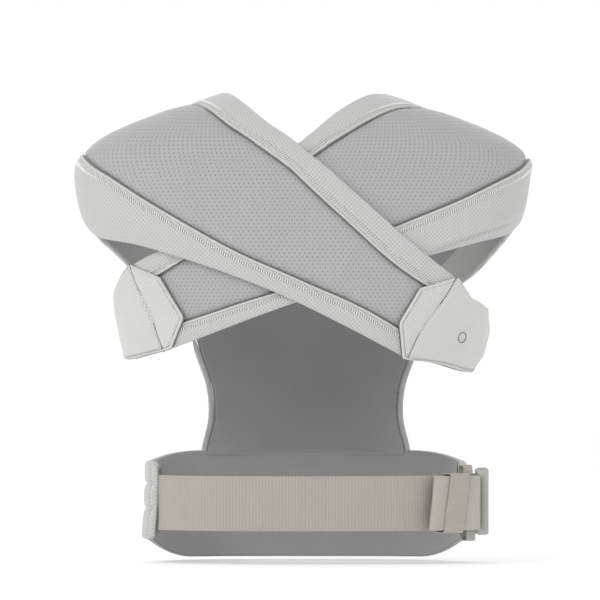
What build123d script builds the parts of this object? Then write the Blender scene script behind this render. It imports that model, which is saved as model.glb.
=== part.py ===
"""A soft baby carrier as it is worn: a padded waist belt, a front pouch panel with a folding head
support, and two wide shoulder straps that cross on the back and clip to the panel's sides.

Frame: millimetres, +Z up, +Y the way the wearer faces, +X to the wearer's right. The origin is the
centre of the waist loop, at the middle of the belt's height.

Every soft piece lies on one torso form: a stack of superellipses whose half width, half depth and
centre change with height. A ribbon of fabric is lofted through sections between two of its edges."""

import math
import os

from build123d import *

os.makedirs("parts", exist_ok=True)

# ---------------------------------------------------------------- driving dimensions
# The torso form: height, half width, half depth, centre along Y.
TORSO = [
    (-90, 152, 99, 3),
    (-40, 142, 93, 2),
    (0, 138, 90, 0),
    (45, 138, 90, 0),
    (94, 145, 95, -1),
    (140, 154, 100, -2),
    (189, 167, 105, -3),
    (230, 182, 106, -4),
    (262, 197, 103, -5),
    (290, 202, 97, -7),
    (308, 202, 90, -8),
    (322, 190, 82, -10),
    (334, 168, 74, -11),
    (347, 136, 66, -12),
    (358, 103, 58, -13),
    (370, 70, 50, -14),
    (386, 34, 42, -15),
]
ROUNDNESS = 2.5  # superellipse power of every level

BELT_WEB = 50.0  # waist webbing width
STRAP_WEB = 25.0  # shoulder strap webbing width
WEB_THICK = 1.6
STRAP_THICK = 4.0  # shoulder strap, spacer mesh between two faces
STRAP_SECTIONS, PAD_SECTIONS, BELT_SECTIONS = 22, 9, 19
STRAP_LIFT = 1.0  # clearance between the strap and the torso form
CROSS_LIFT = 7.6  # the upper strap's lift where it lies over the other
SEAM_GAP = 0.6  # between two pieces that are sewn edge to edge
PAD_COVER, PAD_FOAM = 2.6, 4.4  # the two layers of a strap's end pad

BELT_TOP, BELT_BOTTOM = 46.0, -54.0  # at the front
BELT_END_TOP, BELT_END_BOTTOM = 38.0, -35.0  # at its two ends
BELT_FROM, BELT_TO = -8, 196.5  # angles of the belt's ends about Z
LINING, BELT_FOAM = 1.4, 7.0

PANEL_BOTTOM, PANEL_TOP = 47.5, 258.0
FABRIC = 1.6  # each layer of the front panel
# The front panel: height, half width, and how far it stands out in front of the torso.
PANEL = [
    (PANEL_BOTTOM, 92, 12),
    (76, 86, 38),
    (105, 88, 55),
    (135, 98, 62),
    (163, 106, 63),
    (195, 108, 57),
    (228, 101, 46),
    (PANEL_TOP, 92, 34),
]
BINDING = 3.4  # width of the leg openings' edge binding

SUPPORT_HEIGHT = 70.0  # the head support flap
SUPPORT_HALF = 76.0
SUPPORT_SAG = 16.0  # its ends stand this much further back than its middle
SUPPORT_LAYER = 4.4
HINGE_RISE = 1.5  # from the panel's top edge to the fold line

# A side release buckle for each webbing width: its thickness, socket length and plug length.
BUCKLES = {BELT_WEB: (12.0, 42.0, 24.0), STRAP_WEB: (9.0, 31.0, 20.0)}
BUCKLE_RIM = 5.0  # the buckle is this much wider than its webbing on each side
WALL = 1.8
GAP = 0.3  # round an arm's knuckle
RIM_CHAMFER = 0.9
KEEPER = 1.2  # thickness of the elastic loops
LAYER_GAP = 0.35  # between the layers of one soft piece
WAIST_MOUTH = (161.5, -9.5, 0)  # the waist buckle's mouth, over the belt's right end
SIDE_ANGLE, SIDE_HEIGHT, SIDE_LIFT = 26.5, 163, 10.4  # the strap buckles' mouths


# ---------------------------------------------------------------- the torso form
def interpolate(rows, at):
    """Smooth values between rows of (position, value, value, ...)."""
    at = min(max(at, rows[0][0]), rows[-1][0])
    k = max(i for i in range(len(rows) - 1) if rows[i][0] <= at)
    low, high = rows[k], rows[k + 1]
    before, after = rows[max(k - 1, 0)], rows[min(k + 2, len(rows) - 1)]
    span = high[0] - low[0]
    t = (at - low[0]) / span
    found = []
    for i in range(1, len(low)):
        slope_low = (high[i] - before[i]) / (high[0] - before[0]) * span
        slope_high = (after[i] - low[i]) / (after[0] - low[0]) * span
        found.append(
            low[i] * (1 + 2 * t) * (1 - t) ** 2
            + slope_low * t * (1 - t) ** 2
            + high[i] * t * t * (3 - 2 * t)
            + slope_high * t * t * (t - 1)
        )
    return found


def form_value(p):
    """Under 0 inside the torso form, 0 on it and over 0 outside."""
    half_width, half_depth, centre = interpolate(TORSO, p.Z)
    across = abs(p.X / half_width) ** ROUNDNESS
    return (across + abs((p.Y - centre) / half_depth) ** ROUNDNESS) ** (1 / ROUNDNESS) - 1


def form_slope(p):
    step = 0.5
    return Vector(
        *(
            (form_value(p + d * step) - form_value(p - d * step)) / (2 * step)
            for d in (Vector(1, 0, 0), Vector(0, 1, 0), Vector(0, 0, 1))
        )
    )


def settle(p, lift, direction=None):
    """The point moved along direction, or straight out, to stand lift over the torso form."""
    for _ in range(8):
        slope = form_slope(p)
        height = form_value(p) / slope.length
        way = direction if direction else slope.normalized()
        lean = max(way.dot(slope.normalized()), 0.35)
        p = p + way * ((lift - height) / lean)
    return p


def on_form(x, z, side, lift=STRAP_LIFT):
    """A point of the form seen at x, z from behind (side -1), in front (1) or at its outline (0)."""
    half_width, half_depth, centre = interpolate(TORSO, z)
    inside = max(0.0, 1 - abs(x / half_width) ** ROUNDNESS)
    return settle(Vector(x, centre + side * half_depth * inside ** (1 / ROUNDNESS), z), lift)


def level_point(angle, z, lift):
    """The point of one level of the form at an angle about the Z axis, in the XY plane."""
    half_width, half_depth, centre = interpolate(TORSO, z)
    c, s = math.cos(angle), math.sin(angle)
    reach = (abs(c / half_width) ** ROUNDNESS + abs(s / half_depth) ** ROUNDNESS) ** (
        -1 / ROUNDNESS
    )
    nx = math.copysign(abs(c * reach / half_width) ** (ROUNDNESS - 1) / half_width, c)
    ny = math.copysign(abs(s * reach / half_depth) ** (ROUNDNESS - 1) / half_depth, s)
    size = math.hypot(nx, ny)
    return (c * reach + nx / size * lift, centre + s * reach + ny / size * lift)


def wrap_point(angle, z, lift, mirror=1):
    """A point of the form at an angle in degrees about Z and a height."""
    x, y = level_point(math.radians(angle), z, 0)
    return settle(Vector(x * mirror, y, z), lift)


# ---------------------------------------------------------------- ribbons of fabric
def fabric_section(left, right, along, lift, thick):
    """A sketch across a ribbon from left to right: its inner side at lift over the form."""
    across = (right - left).normalized()
    forward = (along - across * along.dot(across)).normalized()
    out = forward.cross(across)
    if out.dot(form_slope((left + right) * 0.5)) < 0:
        forward, out = forward * -1, out * -1
    width = (right - left).length - SEAM_GAP
    plane = Plane(origin=(left + right) * 0.5, x_dir=across, z_dir=forward)
    stations = [(i / 4 - 0.5) * width for i in range(5)]
    inner, outer = [], []
    for s in stations:
        base = plane.from_local_coords((s, 0, 0))
        for found, height in ((inner, lift), (outer, lift + thick)):
            found.append((s, (settle(base, height, out) - base).dot(out)))
    with BuildSketch(plane) as section:
        with BuildLine():
            lower = Spline(inner)
            upper = Spline(outer)
            Line(lower @ 0, upper @ 0)
            Line(lower @ 1, upper @ 1)
        make_face()
    return section.sketch


def ribbon(left_edge, right_edge, lifts, thick):
    """A band of fabric lofted between two edges, which are lists of points on the form."""
    middles = [(a + b) * 0.5 for a, b in zip(left_edge, right_edge)]
    last = len(middles) - 1
    with BuildPart() as band:
        for i, (a, b) in enumerate(zip(left_edge, right_edge)):
            along = middles[min(i + 1, last)] - middles[max(i - 1, 0)]
            add(fabric_section(a, b, along, lifts[i], thick))
        loft()
    return band


def keep(part, name):
    """Names a finished piece and writes it."""
    part.label = name
    export_step(part, f"parts/{name}.step")
    return part


# ---------------------------------------------------------------- shoulder straps
# Each station has the four long lines of a strap as x, z: neck edge, neck seam, outer seam and outer
# edge. x is given for the strap over the wearer's left shoulder and mirrored for the other.
# The side says where a station lies: 1 in front, 0 on the shoulder's outline and -1 behind.
FRONT_STATIONS = [
    (1, (-93, 262), (-97, 244), (-110, 201), (-112, 185)),
    (1, (-88, 300), (-100, 283), (-143, 236), (-148, 205)),
    (1, (-80, 342), (-99, 331), (-178, 281), (-174, 232)),
]
LEFT_BACK_STATIONS = [
    (0, (-76, 368), (-103, 357), (-204, 317), (-204, 262)),
    (-1, (-64, 365), (-88, 353), (-180, 300), (-184, 247)),
    (-1, (-42, 347), (-62, 333), (-140, 274), (-148, 237)),
    (-1, (-5, 320), (-18, 303), (-68, 232), (-79, 213)),
    (-1, (46, 279), (32, 259), (-6, 204), (-17, 188)),
    (-1, (91, 239), (77, 219), (50, 179), (38, 161)),
    (-1, (130, 207), (118, 190), (95, 152), (87, 134)),
]
RIGHT_BACK_STATIONS = [
    (0, (-74, 369), (-108, 356), (-203, 313), (-201, 259)),
    (-1, (-60, 370), (-90, 358), (-180, 296), (-183, 247)),
    (-1, (-30, 355), (-48, 341), (-140, 276), (-150, 237)),
    (-1, (12, 321), (0, 309), (-62, 242), (-76, 215)),
    (-1, (62, 282), (48, 270), (0, 203), (-10, 190)),
    (-1, (112, 242), (98, 230), (66, 180), (56, 166)),
    (-1, (153, 219), (144, 200), (126, 160), (120, 141)),
]
LEFT_LIFTS = [STRAP_LIFT, STRAP_LIFT, 2.2, 3.4, 5.0, 7.2] + [CROSS_LIFT] * 4
RIGHT_LIFTS = [STRAP_LIFT] * (len(FRONT_STATIONS) + len(RIGHT_BACK_STATIONS))

# An end pad's upper and lower edge: x, z behind, then angle, z where it wraps the wearer's side.
LEFT_PAD = [((131, 206), (88, 133)), ((146, 194), (116, 126)), ((157, 182), (142, 122))]
RIGHT_PAD = [((154, 218), (121, 140)), ((161, 206), (137, 133)), ((165, 194), (151, 133))]
PAD_WRAP = [((-4, 178), (-5, 138)), ((6, 176), (6, 149))]


def strap_edges(stations, mirror):
    """The four long lines of a strap as lists of points on the form."""
    edges = []
    for k in range(1, len(stations[0])):
        line = [on_form(row[k][0] * mirror, row[k][1], row[0]) for row in stations]
        edges.append(line)
    return edges


def pad_edges(back_rows, mirror):
    edges = []
    for k in (0, 1):
        line = [on_form(row[k][0] * mirror, row[k][1], -1) for row in back_rows]
        line += [wrap_point(row[k][0], row[k][1], STRAP_LIFT, mirror) for row in PAD_WRAP]
        edges.append(line)
    return edges


def even_stations(edges, lifts, count):
    """The same edges and lifts at evenly spaced stations, smooth between the given ones."""
    middle = [(a + b) * 0.5 for a, b in zip(edges[0], edges[-1])]
    run = [0.0]
    for a, b in zip(middle, middle[1:]):
        run.append(run[-1] + (b - a).length)
    places = [run[-1] * i / (count - 1) for i in range(count)]
    smooth = []
    for edge in edges:
        rows = [(t, p.X, p.Y, p.Z) for t, p in zip(run, edge)]
        smooth.append([settle(Vector(*interpolate(rows, t)), STRAP_LIFT) for t in places])
    rows = list(zip(run, lifts))
    return smooth, [interpolate(rows, t)[0] for t in places]


def make_strap(name, stations, lifts, pad_stations, mirror):
    """One shoulder strap: two edge bands, and between them a mesh face over its padding."""
    edges, lifts = even_stations(strap_edges(stations, mirror), lifts, STRAP_SECTIONS)
    neck_edge, neck_seam, outer_seam, outer_edge = edges
    half = STRAP_THICK / 2
    keep(ribbon(neck_edge, neck_seam, lifts, STRAP_THICK).part, f"{name}_strap_neck_band")
    keep(ribbon(outer_seam, outer_edge, lifts, STRAP_THICK).part, f"{name}_strap_outer_band")
    raised = [lift + half + LAYER_GAP for lift in lifts]
    keep(ribbon(neck_seam, outer_seam, raised, half - LAYER_GAP).part, f"{name}_strap_mesh_panel")
    keep(ribbon(neck_seam, outer_seam, lifts, half).part, f"{name}_strap_padding")
    low = [lifts[-1], lifts[-1] * 0.7 + 0.3, 2.0, STRAP_LIFT, STRAP_LIFT]
    (upper, lower), low = even_stations(pad_edges(pad_stations, mirror), low, PAD_SECTIONS)
    high = [lift + PAD_FOAM + LAYER_GAP for lift in low]
    keep(ribbon(upper, lower, low, PAD_FOAM).part, f"{name}_strap_end_foam")
    keep(ribbon(upper, lower, high, PAD_COVER).part, f"{name}_strap_end_pad")


# ---------------------------------------------------------------- waist belt
def belt_height(angle):
    """The belt's bottom and top at an angle: its full height in front, lower towards its ends."""
    t = min(max((math.sin(math.radians(angle)) - 0.1) / 0.5, 0), 1)
    t = t * t * (3 - 2 * t)
    return (
        BELT_END_BOTTOM + (BELT_BOTTOM - BELT_END_BOTTOM) * t,
        BELT_END_TOP + (BELT_TOP - BELT_END_TOP) * t,
    )


def make_belt_layer(name, lift, thick):
    count = BELT_SECTIONS
    angles = [BELT_FROM + (BELT_TO - BELT_FROM) * i / (count - 1) for i in range(count)]
    bottom = [wrap_point(a, belt_height(a)[0], lift) for a in angles]
    top = [wrap_point(a, belt_height(a)[1], lift) for a in angles]
    keep(ribbon(bottom, top, [lift] * count, thick).part, name)


def make_webbing(name, route, width, height, mirror=1, bend=None):
    """Flat webbing on edge: its route in plan, smooth or straight with bends, and its width in Z."""
    points = [(x * mirror, y) for x, y in route]
    with BuildPart() as webbing:
        with BuildSketch(Plane.XY.offset(height - width / 2)):
            with BuildLine() as line:
                if bend:
                    FilletPolyline(points, radius=bend)
                else:
                    Spline(points)
            trace(line.line, WEB_THICK)
        extrude(amount=width)
    keep(webbing.part, name)


# ---------------------------------------------------------------- side release buckles
def broad_rims(part, plane):
    """The edges round the part's two broad faces, which look along the plane's Z."""
    faces = part.faces().filter_by(lambda f: abs(f.normal_at().dot(plane.z_dir)) > 0.99)
    return [edge for face in faces for edge in face.outer_wire().edges()]


def make_buckle(name, plane, web):
    """A socket behind the plane's origin, a plug in front of it and the plug's two sprung arms.

    In the plane, X is the way the plug pulls out, Y is across the webbing and Z is outward."""
    thick, socket_length, plug_length = BUCKLES[web]
    half = web / 2 + BUCKLE_RIM
    inside = thick / 2 - WALL
    slot_half = web / 2 + 0.5
    bar_lift = 0.6 - thick / 2 + WEB_THICK + 0.6  # the webbing passes under the end bars
    shoulder = 11 - socket_length * 0.65
    window_end = 14 - socket_length
    pivot = (2.6, half - 6)

    with BuildPart() as socket:
        with BuildSketch(plane.offset(-thick / 2)):
            with BuildLine():
                Polyline(
                    (0, -half + 2),
                    (-2, -half),
                    (window_end, -half),
                    (4 - socket_length, -half + 1.5),
                    (-socket_length, -slot_half),
                    (-socket_length, slot_half),
                    (4 - socket_length, half - 1.5),
                    (window_end, half),
                    (-2, half),
                    (0, half - 2),
                    close=True,
                )
            make_face()
        extrude(amount=thick)
        chamfer(broad_rims(socket, plane), RIM_CHAMFER)
        with BuildSketch(plane.offset(-inside)):
            with Locations(((window_end - 2) / 2, 0)):
                Rectangle(2 - window_end, 2 * (half - 2.2))
            with Locations(((window_end + shoulder) / 2, 0)):
                Rectangle(shoulder - window_end, 2 * half + 2)
        extrude(amount=2 * inside, mode=Mode.SUBTRACT)
        with BuildSketch(plane.offset(-thick / 2)):
            with Locations((6 - socket_length, 0)):
                Rectangle(4.4, 2 * slot_half)
        extrude(amount=thick, mode=Mode.SUBTRACT)
        with BuildSketch(plane.offset(-thick / 2)):
            with Locations((1.9 - socket_length, 0)):
                Rectangle(4.2, 2 * slot_half)
        extrude(amount=bar_lift + thick / 2, mode=Mode.SUBTRACT)
    keep(socket.part, f"{name}_buckle_socket")

    plug_half = thick / 2 - 0.5
    with BuildPart() as plug:
        with BuildSketch(plane.offset(-plug_half)):
            with Locations((0.4 + plug_length / 2, 0)):
                RectangleRounded(plug_length, web + 7, 2)
        extrude(amount=2 * plug_half)
        chamfer(broad_rims(plug, plane), RIM_CHAMFER)
        with BuildSketch(plane.offset(-plug_half)):
            with Locations((plug_length * 0.46, 0), (plug_length * 0.77, 0)):
                Rectangle(plug_length * 0.17, 2 * slot_half)
        extrude(amount=2 * plug_half, mode=Mode.SUBTRACT)
        with BuildSketch(plane.offset(-plug_half)):
            with Locations((plug_length, 0)):
                Rectangle(plug_length * 0.32, 2 * slot_half)
        extrude(amount=bar_lift + plug_half, mode=Mode.SUBTRACT)
        with BuildSketch(plane.offset(-1.6)):
            with Locations(((window_end + 3) / 2, 0)):
                Rectangle(1 - window_end, 7)
        extrude(amount=3.2)
        with BuildSketch(plane.offset(-inside)):
            for side in (1, -1):
                with Locations((pivot[0], pivot[1] * side)):
                    Circle(2.2 + GAP)
                with Locations((0.9, pivot[1] * side)):
                    Rectangle(3.4, 5.6)
        extrude(amount=2 * inside, mode=Mode.SUBTRACT)
    keep(plug.part, f"{name}_buckle_plug")

    for side, label in ((1, "a"), (-1, "b")):
        with BuildPart() as arm:
            with BuildSketch(plane.offset(0.4 - inside)):
                with Locations((pivot[0], pivot[1] * side)):
                    Circle(2.2)
                with BuildLine():
                    Polyline(
                        (pivot[0], (half - 7.6) * side),
                        (window_end + 1.4, (half - 7.4) * side),
                        (window_end + 0.8, (half - 4) * side),
                        (window_end + 3.5, (half + 0.5) * side),
                        (shoulder - 0.5, (half + 0.9) * side),
                        (shoulder - 0.5, (half - 4.8) * side),
                        (pivot[0], (half - 4.4) * side),
                        close=True,
                    )
                make_face()
            extrude(amount=2 * (inside - 0.4))
        keep(arm.part, f"{name}_buckle_arm_{label}")


# ---------------------------------------------------------------- front panel
def panel_section(z, depth):
    """The panel's line at a height, moved depth inwards from its outer face."""
    half, stand = interpolate(PANEL, z)
    edge_y = on_form(half, z, 1, 2 + 2 * FABRIC).Y
    front_y = on_form(0, z, 1, 0).Y + stand
    rows = []
    for i in range(9):
        x = (i / 4 - 1) * half
        y = edge_y + (front_y - edge_y) * (1 - abs(x / half) ** 2.2)
        slope = -2.2 * (front_y - edge_y) / half * abs(x / half) ** 1.2 * (1 if x > 0 else -1)
        size = math.hypot(slope, 1)
        rows.append((x + slope / size * depth, y - depth / size))
    return rows


def arc_sheet(heights, near, far):
    """A shell lofted through level sections, each between its outer and its inner line."""
    with BuildPart() as sheet:
        for z in heights:
            with BuildSketch(Plane.XY.offset(z)):
                with BuildLine():
                    outer = Spline(near(z))
                    inner = Spline(far(z))
                    Line(outer @ 0, inner @ 0)
                    Line(outer @ 1, inner @ 1)
                make_face()
        loft()
    return sheet


def make_panel():
    heights = [row[0] for row in PANEL]
    second = FABRIC + LAYER_GAP
    outer = arc_sheet(heights, lambda z: panel_section(z, 0), lambda z: panel_section(z, FABRIC))
    keep(outer.part, "front_panel_outer")
    lining = arc_sheet(
        heights,
        lambda z: panel_section(z, second),
        lambda z: panel_section(z, second + FABRIC),
    )
    keep(lining.part, "front_panel_lining")
    for side, label in ((1, "right"), (-1, "left")):
        with BuildPart() as binding:
            for z in (PANEL_BOTTOM, 76, 105, 130, 148):
                edge, y = panel_section(z, FABRIC)[-1]
                with BuildSketch(Plane.XY.offset(z)):
                    with Locations(((edge + BINDING / 2 + 2.4) * side, y)):
                        Rectangle(BINDING, 2 * BINDING)
            loft()
        keep(binding.part, f"{label}_leg_binding")


def make_head_support():
    """A padded flap that stands on the panel's top edge and folds forward over it."""
    front_y = panel_section(PANEL_TOP, 0)[4][1]
    low = PANEL_TOP + 2 * HINGE_RISE

    def face(depth):
        def line(z):
            t = (z - low) / SUPPORT_HEIGHT
            half = SUPPORT_HALF * (1 - 0.16 * t * t) - depth * 0.2
            return [
                ((i / 4 - 1) * half, front_y - depth - SUPPORT_SAG * (i / 4 - 1) ** 2)
                for i in range(9)
            ]

        return line

    heights = [low, low + SUPPORT_HEIGHT / 2, low + SUPPORT_HEIGHT]
    keep(arc_sheet(heights, face(0), face(SUPPORT_LAYER)).part, "head_support_cover")
    padding = arc_sheet(heights, face(SUPPORT_LAYER + LAYER_GAP), face(2 * SUPPORT_LAYER))
    keep(padding.part, "head_support_padding")


# ---------------------------------------------------------------- tails and elastic loops
def make_tail(name, plane, length, width, low, high):
    """Spare webbing folded flat on the webbing that it comes from."""
    with BuildPart() as tail:
        with BuildSketch(plane.offset(-width / 2)):
            with Locations((0, (low + high) / 2)):
                RectangleRounded(length, high - low, (high - low) / 2 - 0.1)
        extrude(amount=width)
    keep(tail.part, name)


def make_loop(name, plane, along, band, width, low, high):
    """An elastic loop round webbing: its hole is width tall and reaches from low to high."""
    with BuildPart() as loop:
        with BuildSketch(plane.offset(-width / 2 - KEEPER)):
            with Locations((along, (low + high) / 2)):
                Rectangle(band, high - low + 2 * KEEPER)
        extrude(amount=width + 2 * KEEPER)
        with BuildSketch(plane.offset(-width / 2)):
            with Locations((along, (low + high) / 2)):
                Rectangle(band + 1, high - low)
        extrude(amount=width, mode=Mode.SUBTRACT)
    keep(loop.part, name)


def make_waist():
    cover = LINING + BELT_FOAM + 2 * LAYER_GAP
    make_belt_layer("waist_belt_lining", STRAP_LIFT, LINING)
    make_belt_layer("waist_belt_foam", STRAP_LIFT + LINING + LAYER_GAP, BELT_FOAM)
    make_belt_layer("waist_belt_cover", STRAP_LIFT + cover, LINING)

    mouth = Plane(origin=WAIST_MOUTH, x_dir=(0, -1, 0), z_dir=(1, 0, 0))
    make_buckle("waist", mouth, BELT_WEB)
    thick, socket_length, plug_length = BUCKLES[BELT_WEB]
    level = WAIST_MOUTH[0] - thick / 2 + 0.6 + WEB_THICK / 2
    slot_y = WAIST_MOUTH[1] - plug_length * 0.72
    back = [
        level_point(math.radians(a), -20, STRAP_LIFT + WEB_THICK / 2)
        for a in range(198, 331, 12)
    ]
    make_webbing("waist_webbing", back, BELT_WEB, 0)
    turn = Vector(level, WAIST_MOUTH[1] - plug_length - 11)
    way = (turn - Vector(*back[-1])).normalized()
    start = Vector(*back[-1]) + way * 1.5
    lead = [(start.X, start.Y), (turn.X, turn.Y), (level, slot_y)]
    make_webbing("waist_webbing_lead", lead, BELT_WEB, 0, bend=9)

    anchor_y = WAIST_MOUTH[1] + socket_length
    belt_face = STRAP_LIFT + cover + LINING + 1.2 + WEB_THICK / 2
    anchor = [(level, anchor_y - 5), (level, anchor_y + 3)]
    anchor += [level_point(math.radians(a), -20, belt_face) for a in (24, 29, 34, 39)]
    make_webbing("waist_buckle_anchor", anchor, BELT_WEB, 0)

    out = Vector(way.Y, -way.X)
    side = Plane(origin=start + way * 18 + out * WEB_THICK / 2, x_dir=way, z_dir=(0, 0, -1))
    make_tail("waist_webbing_tail", side, 29, BELT_WEB, 1.0, 13.0)
    make_loop("waist_tail_keeper", side, 1, 22, BELT_WEB + 2, -3.4, 14.0)
    make_loop("waist_safety_loop", side, 20.5, 9, BELT_WEB + 17, -3.4, 8)


def make_side_closure(name, mirror):
    """The webbing and buckle that join a strap's end pad to the front panel."""
    thick, socket_length, plug_length = BUCKLES[STRAP_WEB]
    angle = math.radians(SIDE_ANGLE)
    base = Vector(*level_point(angle, SIDE_HEIGHT, 0))
    out = (Vector(*level_point(angle, SIDE_HEIGHT, 1)) - base).normalized()
    back = Vector(out.Y, -out.X)
    mouth = base + out * SIDE_LIFT

    def place(along, lift):
        p = mouth + back * along + out * lift
        return (p.X, p.Y)

    plane = Plane(
        origin=(mouth.X * mirror, mouth.Y, SIDE_HEIGHT),
        x_dir=(back.X * mirror, back.Y, 0),
        z_dir=(out.X * mirror, out.Y, 0),
    )
    make_buckle(name, plane, STRAP_WEB)
    low = 0.6 + WEB_THICK / 2 - thick / 2
    lead = [
        level_point(math.radians(7.5), SIDE_HEIGHT, STRAP_LIFT + 2),
        place(plug_length + 9, low),
        place(plug_length * 0.72, low),
    ]
    make_webbing(f"{name}_webbing_lead", lead, STRAP_WEB, SIDE_HEIGHT, mirror, bend=9)
    edge_x, edge_y = panel_section(SIDE_HEIGHT, FABRIC)[-1]
    anchor = [
        place(5 - socket_length, low),
        place(-socket_length - 3, low),
        (edge_x + 3, edge_y + 2.5),
    ]
    make_webbing(f"{name}_buckle_anchor", anchor, STRAP_WEB, SIDE_HEIGHT, mirror, bend=2)

    a, b = Vector(*lead[0]), Vector(*lead[1])
    way = (b - a).normalized()
    outward = Vector(way.Y, -way.X)
    start = a + way * 10 + outward * 1.2
    side = Plane(
        origin=(start.X * mirror, start.Y, SIDE_HEIGHT),
        x_dir=(way.X * mirror, way.Y, 0),
        z_dir=(0, 0, -mirror),
    )
    make_tail(f"{name}_webbing_tail", side, 17, STRAP_WEB, 1.0, 3.8)
    make_loop(f"{name}_tail_keeper", side, 1, 9, STRAP_WEB + 2, -3.0, 4.4)


make_strap("left", FRONT_STATIONS + LEFT_BACK_STATIONS, LEFT_LIFTS, LEFT_PAD, 1)
make_strap("right", FRONT_STATIONS + RIGHT_BACK_STATIONS, RIGHT_LIFTS, RIGHT_PAD, -1)
make_panel()
make_head_support()
make_waist()
make_side_closure("right_side", 1)
make_side_closure("left_side", -1)
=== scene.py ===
"""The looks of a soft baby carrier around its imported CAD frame, in metres.

The straps, pads, belt and webbing lie on the torso form of the CAD model. The front panel and the head
support stand in front of it. A padded piece is a slab: a grid of points with an outer and an inner height
at each of them, so seams, crowns and puckers are heights. Lengths are in millimetres until MM scales them."""

import math

import bpy
import numpy as np
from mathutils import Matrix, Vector


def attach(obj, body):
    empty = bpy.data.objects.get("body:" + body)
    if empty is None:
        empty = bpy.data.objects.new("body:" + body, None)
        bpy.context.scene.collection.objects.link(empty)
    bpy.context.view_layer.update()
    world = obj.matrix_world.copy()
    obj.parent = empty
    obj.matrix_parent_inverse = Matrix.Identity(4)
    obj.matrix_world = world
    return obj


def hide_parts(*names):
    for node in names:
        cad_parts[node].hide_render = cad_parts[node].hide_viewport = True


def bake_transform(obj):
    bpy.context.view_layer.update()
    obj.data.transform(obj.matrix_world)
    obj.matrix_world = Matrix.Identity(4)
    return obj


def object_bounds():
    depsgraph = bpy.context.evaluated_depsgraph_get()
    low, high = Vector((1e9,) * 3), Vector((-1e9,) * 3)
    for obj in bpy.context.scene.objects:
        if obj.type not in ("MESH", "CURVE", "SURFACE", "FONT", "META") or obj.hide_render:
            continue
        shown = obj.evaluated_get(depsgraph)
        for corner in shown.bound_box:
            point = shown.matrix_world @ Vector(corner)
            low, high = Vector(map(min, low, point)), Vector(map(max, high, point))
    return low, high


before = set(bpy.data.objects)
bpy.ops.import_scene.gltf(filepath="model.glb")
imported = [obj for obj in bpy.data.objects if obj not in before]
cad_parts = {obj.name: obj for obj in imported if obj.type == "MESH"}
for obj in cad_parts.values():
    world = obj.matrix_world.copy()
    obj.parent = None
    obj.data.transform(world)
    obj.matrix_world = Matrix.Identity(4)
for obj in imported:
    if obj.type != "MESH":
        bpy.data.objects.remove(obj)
CAD_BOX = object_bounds()
MM = 0.001

# ---------------------------------------------------------------- the torso form, in millimetres
# Height, half width, half depth, centre along Y.
TORSO = np.array([
    (-90, 152, 99, 3), (-40, 142, 93, 2), (0, 138, 90, 0), (45, 138, 90, 0), (94, 145, 95, -1),
    (140, 154, 100, -2), (189, 167, 105, -3), (230, 182, 106, -4), (262, 197, 103, -5),
    (290, 202, 97, -7), (308, 202, 90, -8), (322, 190, 82, -10), (334, 168, 74, -11),
    (347, 136, 66, -12), (358, 103, 58, -13), (370, 70, 50, -14), (386, 34, 42, -15),
], dtype=float)
ROUNDNESS = 2.5


def smooth_rows(rows, at):
    """Cubic values between rows of (position, value, ...), for an array of positions."""
    rows = np.asarray(rows, float)
    at = np.clip(np.asarray(at, float), rows[0, 0], rows[-1, 0])
    k = np.clip(np.searchsorted(rows[:, 0], at, side="right") - 1, 0, len(rows) - 2)
    low, high = rows[k], rows[k + 1]
    before, after = rows[np.maximum(k - 1, 0)], rows[np.minimum(k + 2, len(rows) - 1)]
    span = (high[..., 0] - low[..., 0])[..., None]
    t = (at - low[..., 0])[..., None] / span
    low_slope = (high - before)[..., 1:] / (high - before)[..., :1] * span
    high_slope = (after - low)[..., 1:] / (after - low)[..., :1] * span
    return (
        low[..., 1:] * (1 + 2 * t) * (1 - t) ** 2
        + low_slope * t * (1 - t) ** 2
        + high[..., 1:] * t * t * (3 - 2 * t)
        + high_slope * t * t * (t - 1)
    )


def form_value(p):
    """Below 0 inside the form, 0 on it, above 0 outside."""
    level = smooth_rows(TORSO, p[..., 2])
    across = np.abs(p[..., 0] / level[..., 0]) ** ROUNDNESS
    deep = np.abs((p[..., 1] - level[..., 2]) / level[..., 1]) ** ROUNDNESS
    return (across + deep + 1e-9) ** (1 / ROUNDNESS) - 1


def form_slope(p):
    """How form_value rises along X, Y and Z."""
    step = 0.5
    parts = []
    for axis in range(3):
        d = np.zeros(3)
        d[axis] = step
        parts.append((form_value(p + d) - form_value(p - d)) / (2 * step))
    return np.stack(parts, -1)


def unit(vectors):
    """The same vectors at length 1."""
    return vectors / np.linalg.norm(vectors, axis=-1, keepdims=True)


def form_normals(p):
    """The way straight out of the form at each point."""
    return unit(form_slope(p))


def settle(p, lift=0.0):
    """Points moved straight out of the form to stand lift over it."""
    p = np.array(p, float)
    for _ in range(8):
        slope = form_slope(p)
        size = np.linalg.norm(slope, axis=-1, keepdims=True)
        height = form_value(p)[..., None] / size
        p = p + slope / size * (np.asarray(lift)[..., None] - height)
    return p


def on_form(x, z, side):
    """Points of the form seen at x, z from behind (side -1), in front (1) or at the outline (0)."""
    level = smooth_rows(TORSO, z)
    inside = np.maximum(0.0, 1 - np.abs(x / level[..., 0]) ** ROUNDNESS)
    y = level[..., 2] + side * level[..., 1] * inside ** (1 / ROUNDNESS)
    return settle(np.stack([x + 0 * y, y, z + 0 * y], -1))


def reach_at(c, s, rows):
    """How far from its centre a level of the form reaches in a direction."""
    across = np.abs(c / rows[..., 0]) ** ROUNDNESS
    return (across + np.abs(s / rows[..., 1]) ** ROUNDNESS) ** (-1 / ROUNDNESS)


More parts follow.
